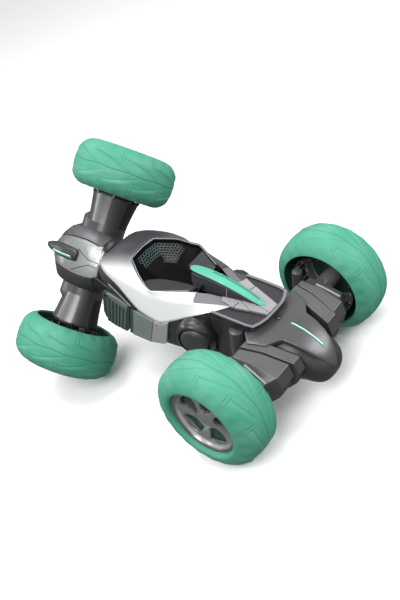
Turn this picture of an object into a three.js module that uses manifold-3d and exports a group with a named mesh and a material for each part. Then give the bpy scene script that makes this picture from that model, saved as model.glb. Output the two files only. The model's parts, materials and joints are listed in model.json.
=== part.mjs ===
// RC twist stunt car. Millimetres, +Z up, +X towards the front axle, +Y to the car's left.
// The car is first laid out level, about its rear axle's centre. It is then pitched until both
// rear tyres and the lower front tyre stand on the floor, because the front axle rests twisted.
import * as THREE from 'three';
import { mergeVertices } from 'three/addons/utils/BufferGeometryUtils.js';
import Module from 'manifold-3d';

// Driving dimensions
const TYRE_R = 52.5;            // tyre radius at the crown
const TYRE_HALF = 24;           // half of the tyre's width
const SHOULDER_R = 15.6;        // round of the tyre's shoulder
const CROWN = 1;                // rise of the tread between its shoulders
const WHEELBASE = 224;
const TRACK = 186;              // between the wheels' mid planes, at both axles
const TWIST = 45;               // degrees that the front axle rests at, left side down
const WALL = 2;                 // moulded wall thickness
const GAP = 0.3;                // clearance between pieces that touch
const LEG_R = { rear: 27.5, front: 24.5 };     // outer radius of an axle leg
const SPIGOT_R = 21.5;          // the leg's end that plugs into its housing
const AXLE_R = 2;
const SHAFT_R = 6;              // hollow shaft that the front end twists on
const BODY_FRONT = 186;         // front edge of the body shell
const FLOOR_Z = -27;            // underside of the chassis pan
const DRIVE = { module: 0.8, gear: 20, pinion: 8 };
const TWISTING = { module: 1, gear: 28, pinion: 8 };

const ROUND = 28;               // sides of a wheel
const MEDIUM = 20;              // sides of a leg, bush or cap
const SMALL = 12;               // sides of a pin, axle or bore
const RAD = Math.PI / 180;

const wasm = await Module();
wasm.setup();

// ---------------------------------------------------------------- solids

function solid(geometry) {
  const bare = geometry.index ? geometry.toNonIndexed() : geometry.clone();
  bare.deleteAttribute('normal');
  bare.deleteAttribute('uv');
  const merged = mergeVertices(bare, 1e-4);
  return new wasm.Manifold(new wasm.Mesh({
    numProp: 3,
    vertProperties: new Float32Array(merged.attributes.position.array),
    triVerts: new Uint32Array(merged.index.array),
  }));
}

function toGeometry(manifold) {
  const mesh = manifold.getMesh();
  const geometry = new THREE.BufferGeometry();
  geometry.setAttribute('position', new THREE.BufferAttribute(new Float32Array(mesh.vertProperties), 3));
  geometry.setIndex(new THREE.BufferAttribute(new Uint32Array(mesh.triVerts), 1));
  const faceted = geometry.toNonIndexed();
  faceted.computeVertexNormals();
  return faceted;
}

function moved(geometry, x = 0, y = 0, z = 0) {
  return geometry.clone().translate(x, y, z);
}

// A closed ring or a solid turned about Y, from (radius, y) points
function turnedAboutY(points, sides = ROUND) {
  return new THREE.LatheGeometry(points.map(([r, y]) => new THREE.Vector2(r, y)), sides);
}

function turnedAboutX(points, sides = MEDIUM) {
  return turnedAboutY(points, sides).rotateZ(-Math.PI / 2);
}

function rod(radius, from, to) {
  return [[0, from], [radius, from], [radius, to], [0, to]];
}

function box(x0, x1, y0, y1, z0, z1) {
  const geometry = new THREE.BoxGeometry(x1 - x0, y1 - y0, z1 - z0);
  return moved(geometry, (x0 + x1) / 2, (y0 + y1) / 2, (z0 + z1) / 2);
}

function prism(points, depth) {
  const shape = new THREE.Shape(points.map(([a, b]) => new THREE.Vector2(a, b)));
  return new THREE.ExtrudeGeometry(shape, { depth, bevelEnabled: false, curveSegments: 8 });
}

// An (x, y) outline raised from z0 to z1
function plate(points, z0, z1) {
  return moved(prism(points, z1 - z0), 0, 0, z0);
}

// An (x, z) outline spanning y0 to y1
function sideProfile(points, y0, y1) {
  return moved(prism(points, y1 - y0).rotateX(Math.PI / 2), 0, y1, 0);
}

function mirrored(half) {
  return [...half, ...half.filter(([, y]) => y > 0).reverse().map(([x, y]) => [x, -y])];
}

// A closed skin through (y, z) rings standing at rising x
function loft(stations) {
  const count = stations[0].ring.length;
  const positions = stations.flatMap(({ x, ring: points }) => points.flatMap(([y, z]) => [x, y, z]));
  const faces = [];
  for (let s = 0; s < stations.length - 1; s += 1) {
    for (let i = 0; i < count; i += 1) {
      const j = (i + 1) % count;
      const a = s * count + i;
      const b = s * count + j;
      faces.push(a, b, b + count, a, b + count, a + count);
    }
  }
  const cap = (s, reverse) => {
    const contour = stations[s].ring.map(([y, z]) => new THREE.Vector2(y, z));
    for (const [a, b, c] of THREE.ShapeUtils.triangulateShape(contour, [])) {
      const base = s * count;
      faces.push(...(reverse ? [base + a, base + c, base + b] : [base + a, base + b, base + c]));
    }
  };
  cap(0, true);
  cap(stations.length - 1, false);
  const geometry = new THREE.BufferGeometry();
  geometry.setAttribute('position', new THREE.Float32BufferAttribute(positions, 3));
  geometry.setIndex(faces);
  return geometry;
}

// Right half of a ring given from the top down; the left half is its mirror
function symmetricRing(half) {
  const left = half.filter(([y]) => y > 0).reverse().map(([y, z]) => [-y, z]);
  return [...half, ...left].reverse();
}

// A spur gear about Y with straight flanks and plenty of backlash. Towards its partner, at the
// angle given, it shows a tooth or a gap.
function gear({ teeth, module, width, bore, towards, shows }) {
  const pitchR = teeth * module / 2;
  const tipR = pitchR + 0.75 * module;
  const rootR = pitchR - 1.1 * module;
  const step = 2 * Math.PI / teeth;
  const phase = shows === 'tooth' ? towards : towards + step / 2;
  const points = [];
  for (let i = 0; i < teeth; i += 1) {
    const mid = i * step + phase;
    const corners = [[rootR, -0.27], [tipR, -0.11], [tipR, 0.11], [rootR, 0.27]];
    corners.forEach(([r, share]) => {
      points.push(new THREE.Vector2(r * Math.cos(mid + share * step), r * Math.sin(mid + share * step)));
    });
  }
  const shape = new THREE.Shape(points);
  if (bore) shape.holes.push(new THREE.Path().absarc(0, 0, bore, 0, 2 * Math.PI, true));
  const geometry = new THREE.ExtrudeGeometry(shape, {
    depth: width, bevelEnabled: false, curveSegments: SMALL / 2,
  });
  return geometry.rotateX(-Math.PI / 2);
}

// ---------------------------------------------------------------- materials and placing

function finish(color, roughness, metalness) {
  return new THREE.MeshStandardMaterial({ color, roughness, metalness });
}
const MINT = finish(0x4fb392, 0.75, 0);
const SILVER = finish(0xc9cbd0, 0.35, 0.5);
const GRAPHITE = finish(0x4a4b50, 0.4, 0.1);
const BLACK = finish(0x0c0d10, 0.12, 0);
const GREY = finish(0x8b8c93, 0.4, 0.2);
const GUNMETAL = finish(0x77797f, 0.3, 0.7);
const STEEL = finish(0xb4b7bb, 0.25, 1);
const NYLON = finish(0xe4e0d2, 0.5, 0);
const GREEN_BOARD = finish(0x1c5b34, 0.5, 0);
const LIGHT = finish(0xd9f5e9, 0.2, 0);

function place(parent, name, shape, material) {
  const geometry = shape.isBufferGeometry ? shape : toGeometry(shape);
  const mesh = new THREE.Mesh(geometry, material);
  mesh.name = name;
  parent.add(mesh);
  return mesh;
}

const car = new THREE.Group();
const front = new THREE.Group();
front.position.x = WHEELBASE;
front.rotation.x = -TWIST * RAD;
car.add(front);

// ---------------------------------------------------------------- body

// Half sections of the body shell from the spine down to its lower edge, by x
const SHELL = [
  { x: -3, half: [[0, 32.5], [8, 32.3], [14, 32], [14.5, 28.5]] },
  { x: 4, half: [[0, 34], [12, 33.5], [27, 32], [27.5, 28.5]] },
  { x: 20, half: [[0, 36], [14, 35], [28, 33], [29, 28.5]] },
  { x: 50, half: [[0, 39], [17, 37], [29, 34], [30.5, 28]] },
  { x: 77, half: [[0, 44], [24, 40.5], [34, 35], [36, 17]] },
  { x: 104, half: [[0, 49.5], [33, 41], [38.5, 35.5], [41, 1]] },
  { x: 126, half: [[0, 51.5], [31, 44], [39.5, 37], [41, 4]] },
  { x: 143, half: [[0, 49.5], [26, 44], [39.5, 38], [40.5, 12]] },
  { x: 163, half: [[0, 43.5], [22, 41], [38.5, 36], [39.5, 24]] },
  { x: BODY_FRONT, half: [[0, 34], [17, 33.5], [25, 31.5], [27, 26.5]] },
];

// Half sections of the chassis pan from its rim down to the floor
const PAN = [
  { x: 30, half: [[28, 27.5], [26, -18], [0, -18]] },
  { x: 50, half: [[29.5, 27], [27, FLOOR_Z], [0, FLOOR_Z]] },
  { x: 77, half: [[35, 16], [33, FLOOR_Z], [0, FLOOR_Z]] },
  { x: 104, half: [[40, 0], [37, FLOOR_Z], [0, FLOOR_Z]] },
  { x: 126, half: [[40, 3], [37, FLOOR_Z], [0, FLOOR_Z]] },
  { x: 143, half: [[39.5, 11], [36, FLOOR_Z], [0, FLOOR_Z]] },
  { x: 163, half: [[38, 23], [33, FLOOR_Z], [0, FLOOR_Z]] },
  { x: 182, half: [[27, 25.5], [24, -20], [0, -20]] },
];

function shellSkin(inset) {
  return solid(loft(SHELL.map(({ x, half }, i) => {
    const lower = half[half.length - 1];
    const rim = [Math.max(lower[0] - inset, 1), inset > 0 ? lower[1] - 9 : lower[1] + inset];
    const points = half.slice(0, -1).map(([y, z]) => [Math.max(y - (y ? inset : 0), 0), z - inset]);
    const shiftX = i === 0 ? inset : (i === SHELL.length - 1 ? -inset : 0);
    return { x: x + shiftX, ring: symmetricRing([...points, rim, [0, rim[1]]]) };
  })));
}

function panSkin(inset) {
  return solid(loft(PAN.map(({ x, half }, i) => {
    const [rim, foot, keel] = half;
    const shiftX = i === 0 ? inset : (i === PAN.length - 1 ? -2 * inset : 0);
    const top = rim[1] + (inset > 0 ? inset * 4 : -inset);
    const points = [[0, top], [rim[0] - inset, top],
      [foot[0] - inset, foot[1] + inset], [0, keel[1] + inset]];
    return { x: x + shiftX, ring: symmetricRing(points) };
  })));
}

// The cockpit opening, front edge first
const COCKPIT = mirrored([[150, 0], [150, 17], [131, 30], [117, 35], [100, 33], [69, 17], [69, 0]]);
const COCKPIT_FLOOR = 14;
const shrink = (points, by) => {
  const cx = 112;
  return points.map(([x, y]) => [cx + (x - cx) * (1 - by / 40), y * (1 - by / 28)]);
};

const shell = shellSkin(0)
  .subtract(shellSkin(WALL))
  .subtract(solid(plate(COCKPIT, COCKPIT_FLOOR - 10, 70)))
  .subtract(solid(box(-20, 30, -40, 40, 0, 28.8)));
place(car, 'body_shell', shell, SILVER);

const SPINE = mirrored([[88, 0], [86, 4.5], [70, 6.5], [30, 5], [12, 2.5], [10, 0]]);
const bowlOuter = solid(plate(shrink(COCKPIT, GAP + 0.6), COCKPIT_FLOOR, 70)).intersect(shellSkin(0));
const bowlInner = solid(plate(shrink(COCKPIT, GAP + 0.6 + WALL), COCKPIT_FLOOR + WALL, 80));
const spineNotch = solid(box(60, 92, -6.8, 6.8, 37.5, 80));
place(car, 'canopy_bowl', bowlOuter.subtract(bowlInner).subtract(spineNotch), BLACK);

// The bezel stands on the shell around the opening, so it follows the shell's crown
const bezelRing = solid(plate(shrink(COCKPIT, -1.5), 20, 80)).subtract(solid(plate(COCKPIT, 10, 90)));
const raisedSkin = by => solid(loft(SHELL.map(({ x, half }) => ({
  x, ring: symmetricRing([...half.map(([y, z]) => [y ? y + by * 0.4 : 0, z + by]), [0, 0]]),
}))));
const bezel = bezelRing.intersect(raisedSkin(1.2)).subtract(raisedSkin(GAP)).subtract(spineNotch);
place(car, 'canopy_frame', bezel, GREY);

// The spine bridges the rear of the cockpit and carries the fin
const spineSide = [[86, 47.2], [46, 44.4], [10, 34.6], [10, 20], [68, 20], [68, 38], [86, 45]];
const spine = solid(sideProfile(spineSide, -7, 7))
  .intersect(solid(plate(SPINE, 10, 60)))
  .subtract(raisedSkin(GAP).subtract(solid(plate(COCKPIT, -10, 90))));
place(car, 'spine_base', spine, GRAPHITE);

const finSide = [[88, 48.2], [70, 49.4], [46, 47.2], [10, 37.2], [10, 34.9], [46, 44.7], [86, 47.5]];
const fin = solid(sideProfile(finSide, -7, 7)).intersect(solid(plate(SPINE, 10, 60)));
place(car, 'spine_fin', fin, MINT);

const DECK = mirrored([[46, 7.5], [34, 15], [6, 15], [1, 7.5]]);
const deckBand = solid(plate(DECK, 20, 60)).subtract(solid(box(-10, 90, -7.2, 7.2, 0, 90)));
const deck = deckBand.intersect(raisedSkin(1.4)).subtract(raisedSkin(GAP));
const leftDeck = deck.intersect(solid(box(-10, 90, 0, 60, 0, 90)));
place(car, 'tail_deck_left', leftDeck, GREY);
place(car, 'tail_deck_right', deck.subtract(leftDeck), GREY);

// ---------------------------------------------------------------- chassis

const DOOR = { x0: 78, x1: 132, halfY: 17 };
const HINGE = { x: DOOR.x0 + 2.2, z: FLOOR_Z + 1, pinR: 1 };
const SWITCH = { x: 62, y: 12 };
const BUSH_R = 9;

const pan = panSkin(0)
  .subtract(panSkin(WALL))
  .subtract(solid(box(0, BODY_FRONT + 2, -60, 60, 27, 60)))
  .subtract(shellSkin(-GAP))
  .subtract(solid(turnedAboutX(rod(BUSH_R + GAP, 150, 200))))
  .subtract(solid(box(DOOR.x0, DOOR.x1, -DOOR.halfY, DOOR.halfY, FLOOR_Z - 5, FLOOR_Z + 3)))
  .subtract(solid(box(-4.5, 4.5, -2, 2, -5, 5)).translate([SWITCH.x, SWITCH.y, FLOOR_Z]))
  .subtract(solid(box(20, 45, -20, 20, -14, 25)));
place(car, 'chassis_pan', pan, GRAPHITE);

const knuckle = solid(turnedAboutY(rod(HINGE.pinR + 1.2, -DOOR.halfY + 1, DOOR.halfY - 1), SMALL));
const doorY = DOOR.halfY - GAP;
const door = solid(box(DOOR.x0 + 3, DOOR.x1 - GAP, -doorY, doorY, FLOOR_Z, FLOOR_Z + WALL))
  .add(knuckle.translate([HINGE.x, 0, HINGE.z]))
  .subtract(solid(turnedAboutY(rod(HINGE.pinR + 0.15, -30, 30), SMALL)).translate([HINGE.x, 0, HINGE.z]));
place(car, 'battery_door', door, GRAPHITE);
const pin = solid(turnedAboutY(rod(HINGE.pinR, -DOOR.halfY + GAP, DOOR.halfY - GAP), SMALL));
place(car, 'battery_door_pin', pin.translate([HINGE.x, 0, HINGE.z]), STEEL);

// The switch's knob stands in its slot, and a wider foot holds it behind the floor
const knobBox = box(-3.8, -0.4, -1.6, 1.6, -1.5, 2.4);
const footBox = box(-6, 1.5, -3.5, 3.5, WALL + GAP, 4);
const knob = solid(knobBox).add(solid(footBox)).translate([SWITCH.x, SWITCH.y, FLOOR_Z]);
place(car, 'power_switch', knob, BLACK);

place(car, 'battery_pack', box(84, 130, -14.5, 14.5, FLOOR_Z + 4, FLOOR_Z + 19), GREY);
place(car, 'circuit_board', box(84, 136, -25, 25, 1, 2.6), GREEN_BOARD);

// ---------------------------------------------------------------- twist drive

const TWIST_PITCH = TWISTING.module * (TWISTING.gear + TWISTING.pinion) / 2;
const TWIST_GEAR_X = 158;
const MOTOR_R = 7.75;

function motor(length) {
  const can = solid(turnedAboutY(rod(MOTOR_R, 0, length), SMALL + 2))
    .intersect(solid(box(-MOTOR_R, MOTOR_R, -1, length + 1, -6, 6)));
  const boss = solid(turnedAboutY(rod(3, length - 0.5, length + 1.5), SMALL));
  return can.add(boss).subtract(solid(turnedAboutY(rod(1.3, length - 8, length + 5), 8)));
}

// A pinion and the motor shaft that it is pressed on
function pinion(set, width, shaftLength, mesh) {
  const wheel = solid(gear({ teeth: set.pinion, module: set.module, width, ...mesh }));
  return wheel.add(solid(turnedAboutY(rod(1, -shaftLength, width / 2), 8)));
}

const aboutX = manifold => manifold.rotate([0, 0, -90]);
place(car, 'twist_motor', aboutX(motor(22)).translate([TWIST_GEAR_X - 24.3, 0, -TWIST_PITCH]), STEEL);
const twistPinion = pinion(TWISTING, 5, 7, { towards: -Math.PI / 2, shows: 'tooth' });
place(car, 'twist_pinion', aboutX(twistPinion).translate([TWIST_GEAR_X, 0, -TWIST_PITCH]), STEEL);

const bush = [[SHAFT_R + 0.2, 177], [BUSH_R + 2.5, 177], [BUSH_R + 2.5, 178 - GAP], [BUSH_R, 178 - GAP],
  [BUSH_R, 184], [SHAFT_R + 0.2, 184], [SHAFT_R + 0.2, 177]];
place(car, 'twist_bush', turnedAboutX(bush), NYLON);

const shaftFlange = 12;
const shaft = [[4, 152], [SHAFT_R, 152], [SHAFT_R, 190], [shaftFlange, 190], [shaftFlange, 192.5],
  [SHAFT_R, 192.5], [SHAFT_R, 206], [4, 206], [4, 152]];
const inFront = geometry => moved(geometry, -WHEELBASE, 0, 0);
place(front, 'twist_shaft', inFront(turnedAboutX(shaft)), STEEL);

const twistGear = solid(gear({
  teeth: TWISTING.gear, module: TWISTING.module, width: 5, bore: SHAFT_R + GAP, towards: 0, shows: 'gap',
}));
const meshTurn = 90 + TWIST;
const meshedGear = aboutX(twistGear.rotate([0, meshTurn, 0]));
place(front, 'twist_gear', meshedGear.translate([TWIST_GEAR_X - WHEELBASE, 0, 0]), NYLON);

// ---------------------------------------------------------------- axle legs, motors and gears

const AXLE_PITCH = DRIVE.module * (DRIVE.gear + DRIVE.pinion) / 2;
const LEG_END = TRACK / 2 - TYRE_HALF;
const GEAR_Y = LEG_END - 9;

const ROOT = { rear: 30, front: 37 };   // where each leg leaves its housing
const COLLAR_R = { rear: 24.5, front: 23 };

// The (radius, y) section of a leg, from its spigot out to the axle's bearing
const legSection = (root, collarR, legR) => [
  [SPIGOT_R - WALL, root - 4], [SPIGOT_R, root - 4], [SPIGOT_R, root + GAP], [collarR, root + GAP],
  [collarR, 44], [legR, 48], [legR, LEG_END - 3], [legR - 3, LEG_END], [6, LEG_END], [6, LEG_END + 6],
  [AXLE_R + GAP, LEG_END + 6], [AXLE_R + GAP, LEG_END - WALL], [legR - WALL, LEG_END - WALL],
  [legR - WALL, 48.5], [SPIGOT_R - WALL, 44], [SPIGOT_R - WALL, root - 4],
];

// Armour around the rear legs: (x, z) sections at rising y, bulging to the rear
const ARMOUR = [
  {
    y: 30.6,
    ring: [[24, 0], [20, 16], [6, 24], [-12, 24], [-36, 17], [-41, 0], [-36, -16], [-12, -25], [12, -23]],
  },
  {
    y: 48,
    ring: [[26, 0], [22, 18], [4, 26], [-12, 26], [-36, 17], [-41, 0], [-36, -17], [-10, -27], [14, -25]],
  },
  {
    y: 60,
    ring: [[26, 0], [22, 18], [4, 26], [-10, 25.5], [-32, 15], [-37, 0], [-32, -14], [-8, -27], [14, -25]],
  },
  {
    y: 67,
    ring: [[25, 0], [20, 16], [4, 24.5], [-10, 23.5], [-24, 12], [-28, 0], [-24, -12], [-8, -25], [14, -22]],
  },
];

function armour() {
  // loft() runs along X, so the sections are drawn as (x, z) and turned from X to Y
  const stations = ARMOUR.map(({ y, ring: points }) => ({
    x: y, ring: points.map(([x, z]) => [-x, z]).reverse(),
  }));
  const skin = loft(stations);
  const collarR = COLLAR_R.rear - 1;
  const legR = LEG_R.rear - 1;
  const core = [[0, 0], [collarR, 0], [collarR, 45], [legR, 48.4], [legR, 100], [0, 100]];
  return solid(skin.rotateZ(Math.PI / 2)).subtract(solid(turnedAboutY(core, MEDIUM)));
}

// One axle end, drawn on the left; turning it half a turn makes the right one
function axleEnd(parent, label, side, bodyY) {
  const group = new THREE.Group();
  if (side === 'right') group.rotation.z = Math.PI;
  parent.add(group);
  const tube = solid(turnedAboutY(legSection(ROOT[label], COLLAR_R[label], LEG_R[label]), MEDIUM));
  const shape = side === 'right' ? armour().mirror([1, 0, 0]) : armour();
  place(group, `${label}_leg_${side}`, label === 'rear' ? tube.add(shape) : tube, GRAPHITE);
  const drive = motor(25).translate([AXLE_PITCH, GEAR_Y - 27.3, 0]);
  place(group, `${label}_motor_${side}`, drive, STEEL);
  const mate = pinion(DRIVE, 4.5, 7, { towards: Math.PI, shows: 'gap' });
  place(group, `${label}_pinion_${side}`, mate.translate([AXLE_PITCH, GEAR_Y, 0]), STEEL);
  const wheelGear = gear({
    teeth: DRIVE.gear, module: DRIVE.module, width: 4, bore: AXLE_R + GAP, towards: 0, shows: 'tooth',
  });
  place(group, `${label}_wheel_gear_${side}`, moved(wheelGear, 0, GEAR_Y + 0.25, 0), NYLON);
  const axle = [[0, GEAR_Y - 3], [AXLE_R, GEAR_Y - 3], [AXLE_R, bodyY + 8], [0, bodyY + 8]];
  place(group, `${label}_axle_${side}`, turnedAboutY(axle, SMALL), STEEL);
  const wheel = new THREE.Group();
  wheel.position.y = bodyY;
  group.add(wheel);
  place(wheel, `${label}_tyre_${side}`, tyre(), MINT);
  place(wheel, `${label}_rim_${side}`, rim(), GUNMETAL);
}

// ---------------------------------------------------------------- wheels, drawn about Y with +Y outboard

function shoulder(sign, from, to, steps) {
  const points = [];
  for (let i = 0; i <= steps; i += 1) {
    const a = (from + (to - from) * i / steps) * RAD;
    const r = TYRE_R - CROWN - SHOULDER_R + SHOULDER_R * Math.cos(a);
    points.push([r, sign * (TYRE_HALF - SHOULDER_R + SHOULDER_R * Math.sin(a))]);
  }
  return points;
}

function tyre() {
  const tread = [
    ...shoulder(-1, 75, 0, 2), [TYRE_R, 0], ...shoulder(1, 0, 90, 3), [31.2, 18.6],
  ];
  const cavity = [
    [33.4, 17.4], [37.5, 21], [45.8, 15.5], [49.7, 3], [49.7, -3], [45.3, -15.5], [41.5, -18.5],
    [38.9, -8.5], [36.2, -8.5], [38.8, -21.3],
  ];
  const start = tread[0];
  return turnedAboutY([...tread, ...cavity, start]);
}

function rim() {
  const barrel = solid(turnedAboutY([
    [28.6, 18.8], [28.4, 6], [33.8, -10], [35.7, -9], [30.6, 18.8], [28.6, 18.8],
  ], MEDIUM));
  const disc = new THREE.Shape().absarc(0, 0, 29, 0, 2 * Math.PI);
  const spokes = 5;
  for (let i = 0; i < spokes; i += 1) {
    const mid = i * 2 * Math.PI / spokes;
    const polar = (r, a) => new THREE.Vector2(r * Math.cos(mid + a), r * Math.sin(mid + a));
    disc.holes.push(new THREE.Path([polar(11, -0.25), polar(25.5, -0.46), polar(27, 0), polar(25.5, 0.46),
      polar(11, 0.25)].reverse()));
  }
  const face = new THREE.ExtrudeGeometry(disc, { depth: 4, bevelEnabled: false, curveSegments: MEDIUM / 2 });
  const hub = solid(turnedAboutY(rod(8.5, -14, 14), SMALL));
  return barrel
    .add(solid(face.rotateX(-Math.PI / 2)).translate([0, 8, 0]))
    .add(hub)
    .subtract(solid(turnedAboutY(rod(AXLE_R + GAP, -20, 9), SMALL)));
}

axleEnd(car, 'rear', 'left', TRACK / 2);
axleEnd(car, 'rear', 'right', TRACK / 2);
axleEnd(front, 'front', 'left', TRACK / 2);
axleEnd(front, 'front', 'right', TRACK / 2);

// ---------------------------------------------------------------- rear housing

const REAR_PLAN = mirrored([[29.5, 0], [29.5, 25], [24, 30], [-30, 30], [-40, 24], [-50, 21], [-58, 12],
  [-60, 5], [-60, 0]]);
const REAR_SIDE = [[30, 25], [-18, 25], [-36, 20], [-50, 12.5], [-59, 1], [-60, -8], [-52, -18], [-36, -25],
  [30, -25]];
const inset = (points, by) => points.map(([a, b]) => [a - Math.sign(a + 10) * by, b - Math.sign(b) * by]);
const rearBlock = by => solid(plate(inset(REAR_PLAN, by), -40, 40))
  .intersect(solid(sideProfile(inset(REAR_SIDE, by), -50, 50)));
const legHoles = solid(turnedAboutY(rod(SPIGOT_R + GAP, -50, 50), MEDIUM));
const legShoulders = solid(turnedAboutY(rod(COLLAR_R.front + GAP, ROOT.front, 60), MEDIUM))
  .add(solid(turnedAboutY(rod(COLLAR_R.front + GAP, -60, -ROOT.front), MEDIUM)));
const rearShell = rearBlock(0).subtract(rearBlock(WALL)).subtract(legHoles);
const ABOVE = [-90, 60, -60, 60, 2 + GAP, 60];
const BELOW = [-90, 60, -60, 60, -60, 2];
const LIGHT_SLOT = [-47, -19, -1.4, 1.4, 5, 40];
const rearCover = rearShell.intersect(solid(box(...ABOVE)))
  .subtract(solid(box(...LIGHT_SLOT)))
  .subtract(solid(turnedAboutY(rod(2.2, 15, 40), 12).rotateX(Math.PI / 2)).translate([-4, 0, 0]));
place(car, 'rear_cover', rearCover, GRAPHITE);
place(car, 'rear_housing', rearShell.intersect(solid(box(...BELOW))), GRAPHITE);

const lightSide = [[-46.6, 15.4], [-36, 20.9], [-19.4, 25.4], [-19.4, 22], [-36, 17], [-46.6, 11.5]];
place(car, 'rear_light', sideProfile(lightSide, -1.1, 1.1), LIGHT);
const screw = [[0, 16], [1.4, 16], [1.4, 24], [1.9, 24], [1.9, 25.6], [0, 25.6]];
place(car, 'rear_cover_screw', moved(turnedAboutY(screw, 12).rotateX(Math.PI / 2), -4, 0, 0), STEEL);

// ---------------------------------------------------------------- side vents and round caps

const VENT = [[178, 8], [172, 15], [139, 9], [108, -3], [92, 2], [92, -28], [108, -33], [126, -33.5],
  [146, -32], [177, -23]];
const SIDE_PLAN = mirrored([[182, 0], [182, 30], [170, 40.3], [104, 43.5], [88, 41.5], [88, 0]]);
const outerWall = solid(plate(SIDE_PLAN, -50, 50));
const ventWall = solid(sideProfile(VENT, 30, 60)).intersect(outerWall)
  .subtract(raisedSkin(GAP * 2.5))
  .subtract(panSkin(-GAP * 1.5))
  .subtract(solid(box(80, 190, 0, 38, -60, 60)));
place(car, 'vent_left', ventWall, GREY);
place(car, 'vent_right', ventWall.mirror([0, 1, 0]), GREY);

const CAP = { x: 63, y: 39.5, z: 1.2, yaw: 17 };
const capRing = [[13.2, 0.8], [20, 0.8], [20, 3], [17.5, 7], [15.5, 8], [13.2, 8], [13.2, 0.8]];
const capDisc = [[0, 3], [12.9, 3], [12.9, 8.5], [11.8, 10], [0, 10]];
for (const side of [1, -1]) {
  const group = new THREE.Group();
  group.position.set(CAP.x, side * (CAP.y - 6), CAP.z);
  group.rotation.z = side > 0 ? CAP.yaw * RAD : Math.PI - CAP.yaw * RAD;
  car.add(group);
  const label = side > 0 ? 'left' : 'right';
  place(group, `turbine_ring_${label}`, turnedAboutY(capRing, MEDIUM), GRAPHITE);
  place(group, `turbine_cap_${label}`, turnedAboutY(capDisc, MEDIUM), GRAPHITE);
}

// ---------------------------------------------------------------- front housing

const HUB = [
  { x: -30, w: 20, h: 20 }, { x: -22, w: 29, h: 26 }, { x: -6, w: 36.5, h: 29 }, { x: 12, w: 37, h: 29 },
  { x: 30, w: 31, h: 25 }, { x: 42, w: 20, h: 17 }, { x: 48, w: 8, h: 8 },
];
const hubRing = (w, h) => {
  const squarish = v => Math.sign(v) * Math.abs(v) ** 0.8;
  const points = [];
  for (let i = 0; i < 16; i += 1) {
    const a = (i + 0.5) * Math.PI / 8;
    points.push([w * squarish(Math.cos(a)), h * squarish(Math.sin(a))]);
  }
  return points;
};
const hubSkin = by => solid(loft(HUB.map(({ x, w, h }, i) => {
  const ends = i === 0 ? by : (i === HUB.length - 1 ? -by : 0);
  return { x: x + ends, ring: hubRing(w - by, h - by) };
})));
const hubShell = hubSkin(0).subtract(hubSkin(WALL)).subtract(legHoles).subtract(legShoulders)
  .subtract(solid(turnedAboutX(rod(SHAFT_R + GAP, -60, -10))));
const HORN = mirrored([[46.5, 0], [42, 4], [30, 7.5], [4, 8], [-2, 0]]);
const hornSide = [[47, 25], [38, 29.5], [20, 33], [-3, 32.5], [-3, 20], [30, 15], [46, 23]];
const horn = solid(sideProfile(hornSide, -10, 10)).intersect(solid(plate(HORN, 0, 60)));
place(front, 'front_nose_cover', hubShell.intersect(solid(box(...ABOVE))), SILVER);
place(front, 'front_housing', hubShell.intersect(solid(box(...BELOW))), GRAPHITE);
place(front, 'front_horn', horn.subtract(hubSkin(-GAP)), BLACK);
const strip = [[5, 33.2], [20, 33.4], [31, 31.9], [31, 33.1], [20, 34.6], [5, 34.4]];
place(front, 'front_light', sideProfile(strip, 2, 4), LIGHT);

// ---------------------------------------------------------------- stance

// The pitch at which the twisted axle's lower tyre touches the floor with both rear tyres
function stancePitch() {
  const lean = p => Math.sin(TWIST * RAD) * Math.cos(p);
  const height = p => WHEELBASE * Math.sin(p) - TRACK / 2 * lean(p) + TYRE_R;
  const reach = p => (TYRE_R - CROWN - SHOULDER_R) * Math.sqrt(1 - lean(p) ** 2)
    + (TYRE_HALF - SHOULDER_R) * lean(p) + SHOULDER_R;
  const miss = p => height(p) - reach(p);
  let low = 0;
  let high = 40 * RAD;
  for (let i = 0; i < 50; i += 1) {
    const mid = (low + high) / 2;
    if (miss(mid) > 0) high = mid;
    else low = mid;
  }
  return (low + high) / 2;
}

const object = new THREE.Group();
car.rotation.y = -stancePitch();
object.add(car);
object.updateMatrixWorld(true);
const bounds = new THREE.Box3().setFromObject(object, true);
car.position.set(-(bounds.min.x + bounds.max.x) / 2, -(bounds.min.y + bounds.max.y) / 2, -bounds.min.z);

export default object;
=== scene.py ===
"""Looks for the RC twist stunt car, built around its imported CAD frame.

Every shape is drawn in millimetres in one of the car's own frames and then carried into the shared
frame, in metres. The car frame has its origin at the rear axle's centre, X to the front, Y to the left
and Z up, square to the car. The front frame sits at the front axle's centre and is twisted with it. A
wheel frame has its origin at the wheel's centre and Y pointing outboard.
"""
import json
from math import atan2, copysign, cos, degrees, pi, radians, sin, tau

import bmesh
import bpy
import numpy as np
from mathutils import Matrix, Vector


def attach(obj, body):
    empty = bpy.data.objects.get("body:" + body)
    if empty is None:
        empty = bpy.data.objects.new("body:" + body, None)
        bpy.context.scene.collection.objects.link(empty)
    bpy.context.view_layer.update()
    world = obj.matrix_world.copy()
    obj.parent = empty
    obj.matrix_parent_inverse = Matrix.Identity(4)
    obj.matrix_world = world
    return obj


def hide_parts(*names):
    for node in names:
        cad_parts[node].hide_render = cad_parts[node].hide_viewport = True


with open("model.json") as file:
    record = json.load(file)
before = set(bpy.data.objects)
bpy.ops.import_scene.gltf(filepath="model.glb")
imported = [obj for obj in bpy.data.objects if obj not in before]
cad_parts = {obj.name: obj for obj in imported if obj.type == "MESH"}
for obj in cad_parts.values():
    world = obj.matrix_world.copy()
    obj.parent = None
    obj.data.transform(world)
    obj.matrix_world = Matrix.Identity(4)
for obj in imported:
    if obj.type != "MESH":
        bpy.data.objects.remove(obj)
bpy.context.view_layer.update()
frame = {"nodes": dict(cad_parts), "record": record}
SCENE = bpy.context.scene

# ---- sizes, in millimetres

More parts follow.
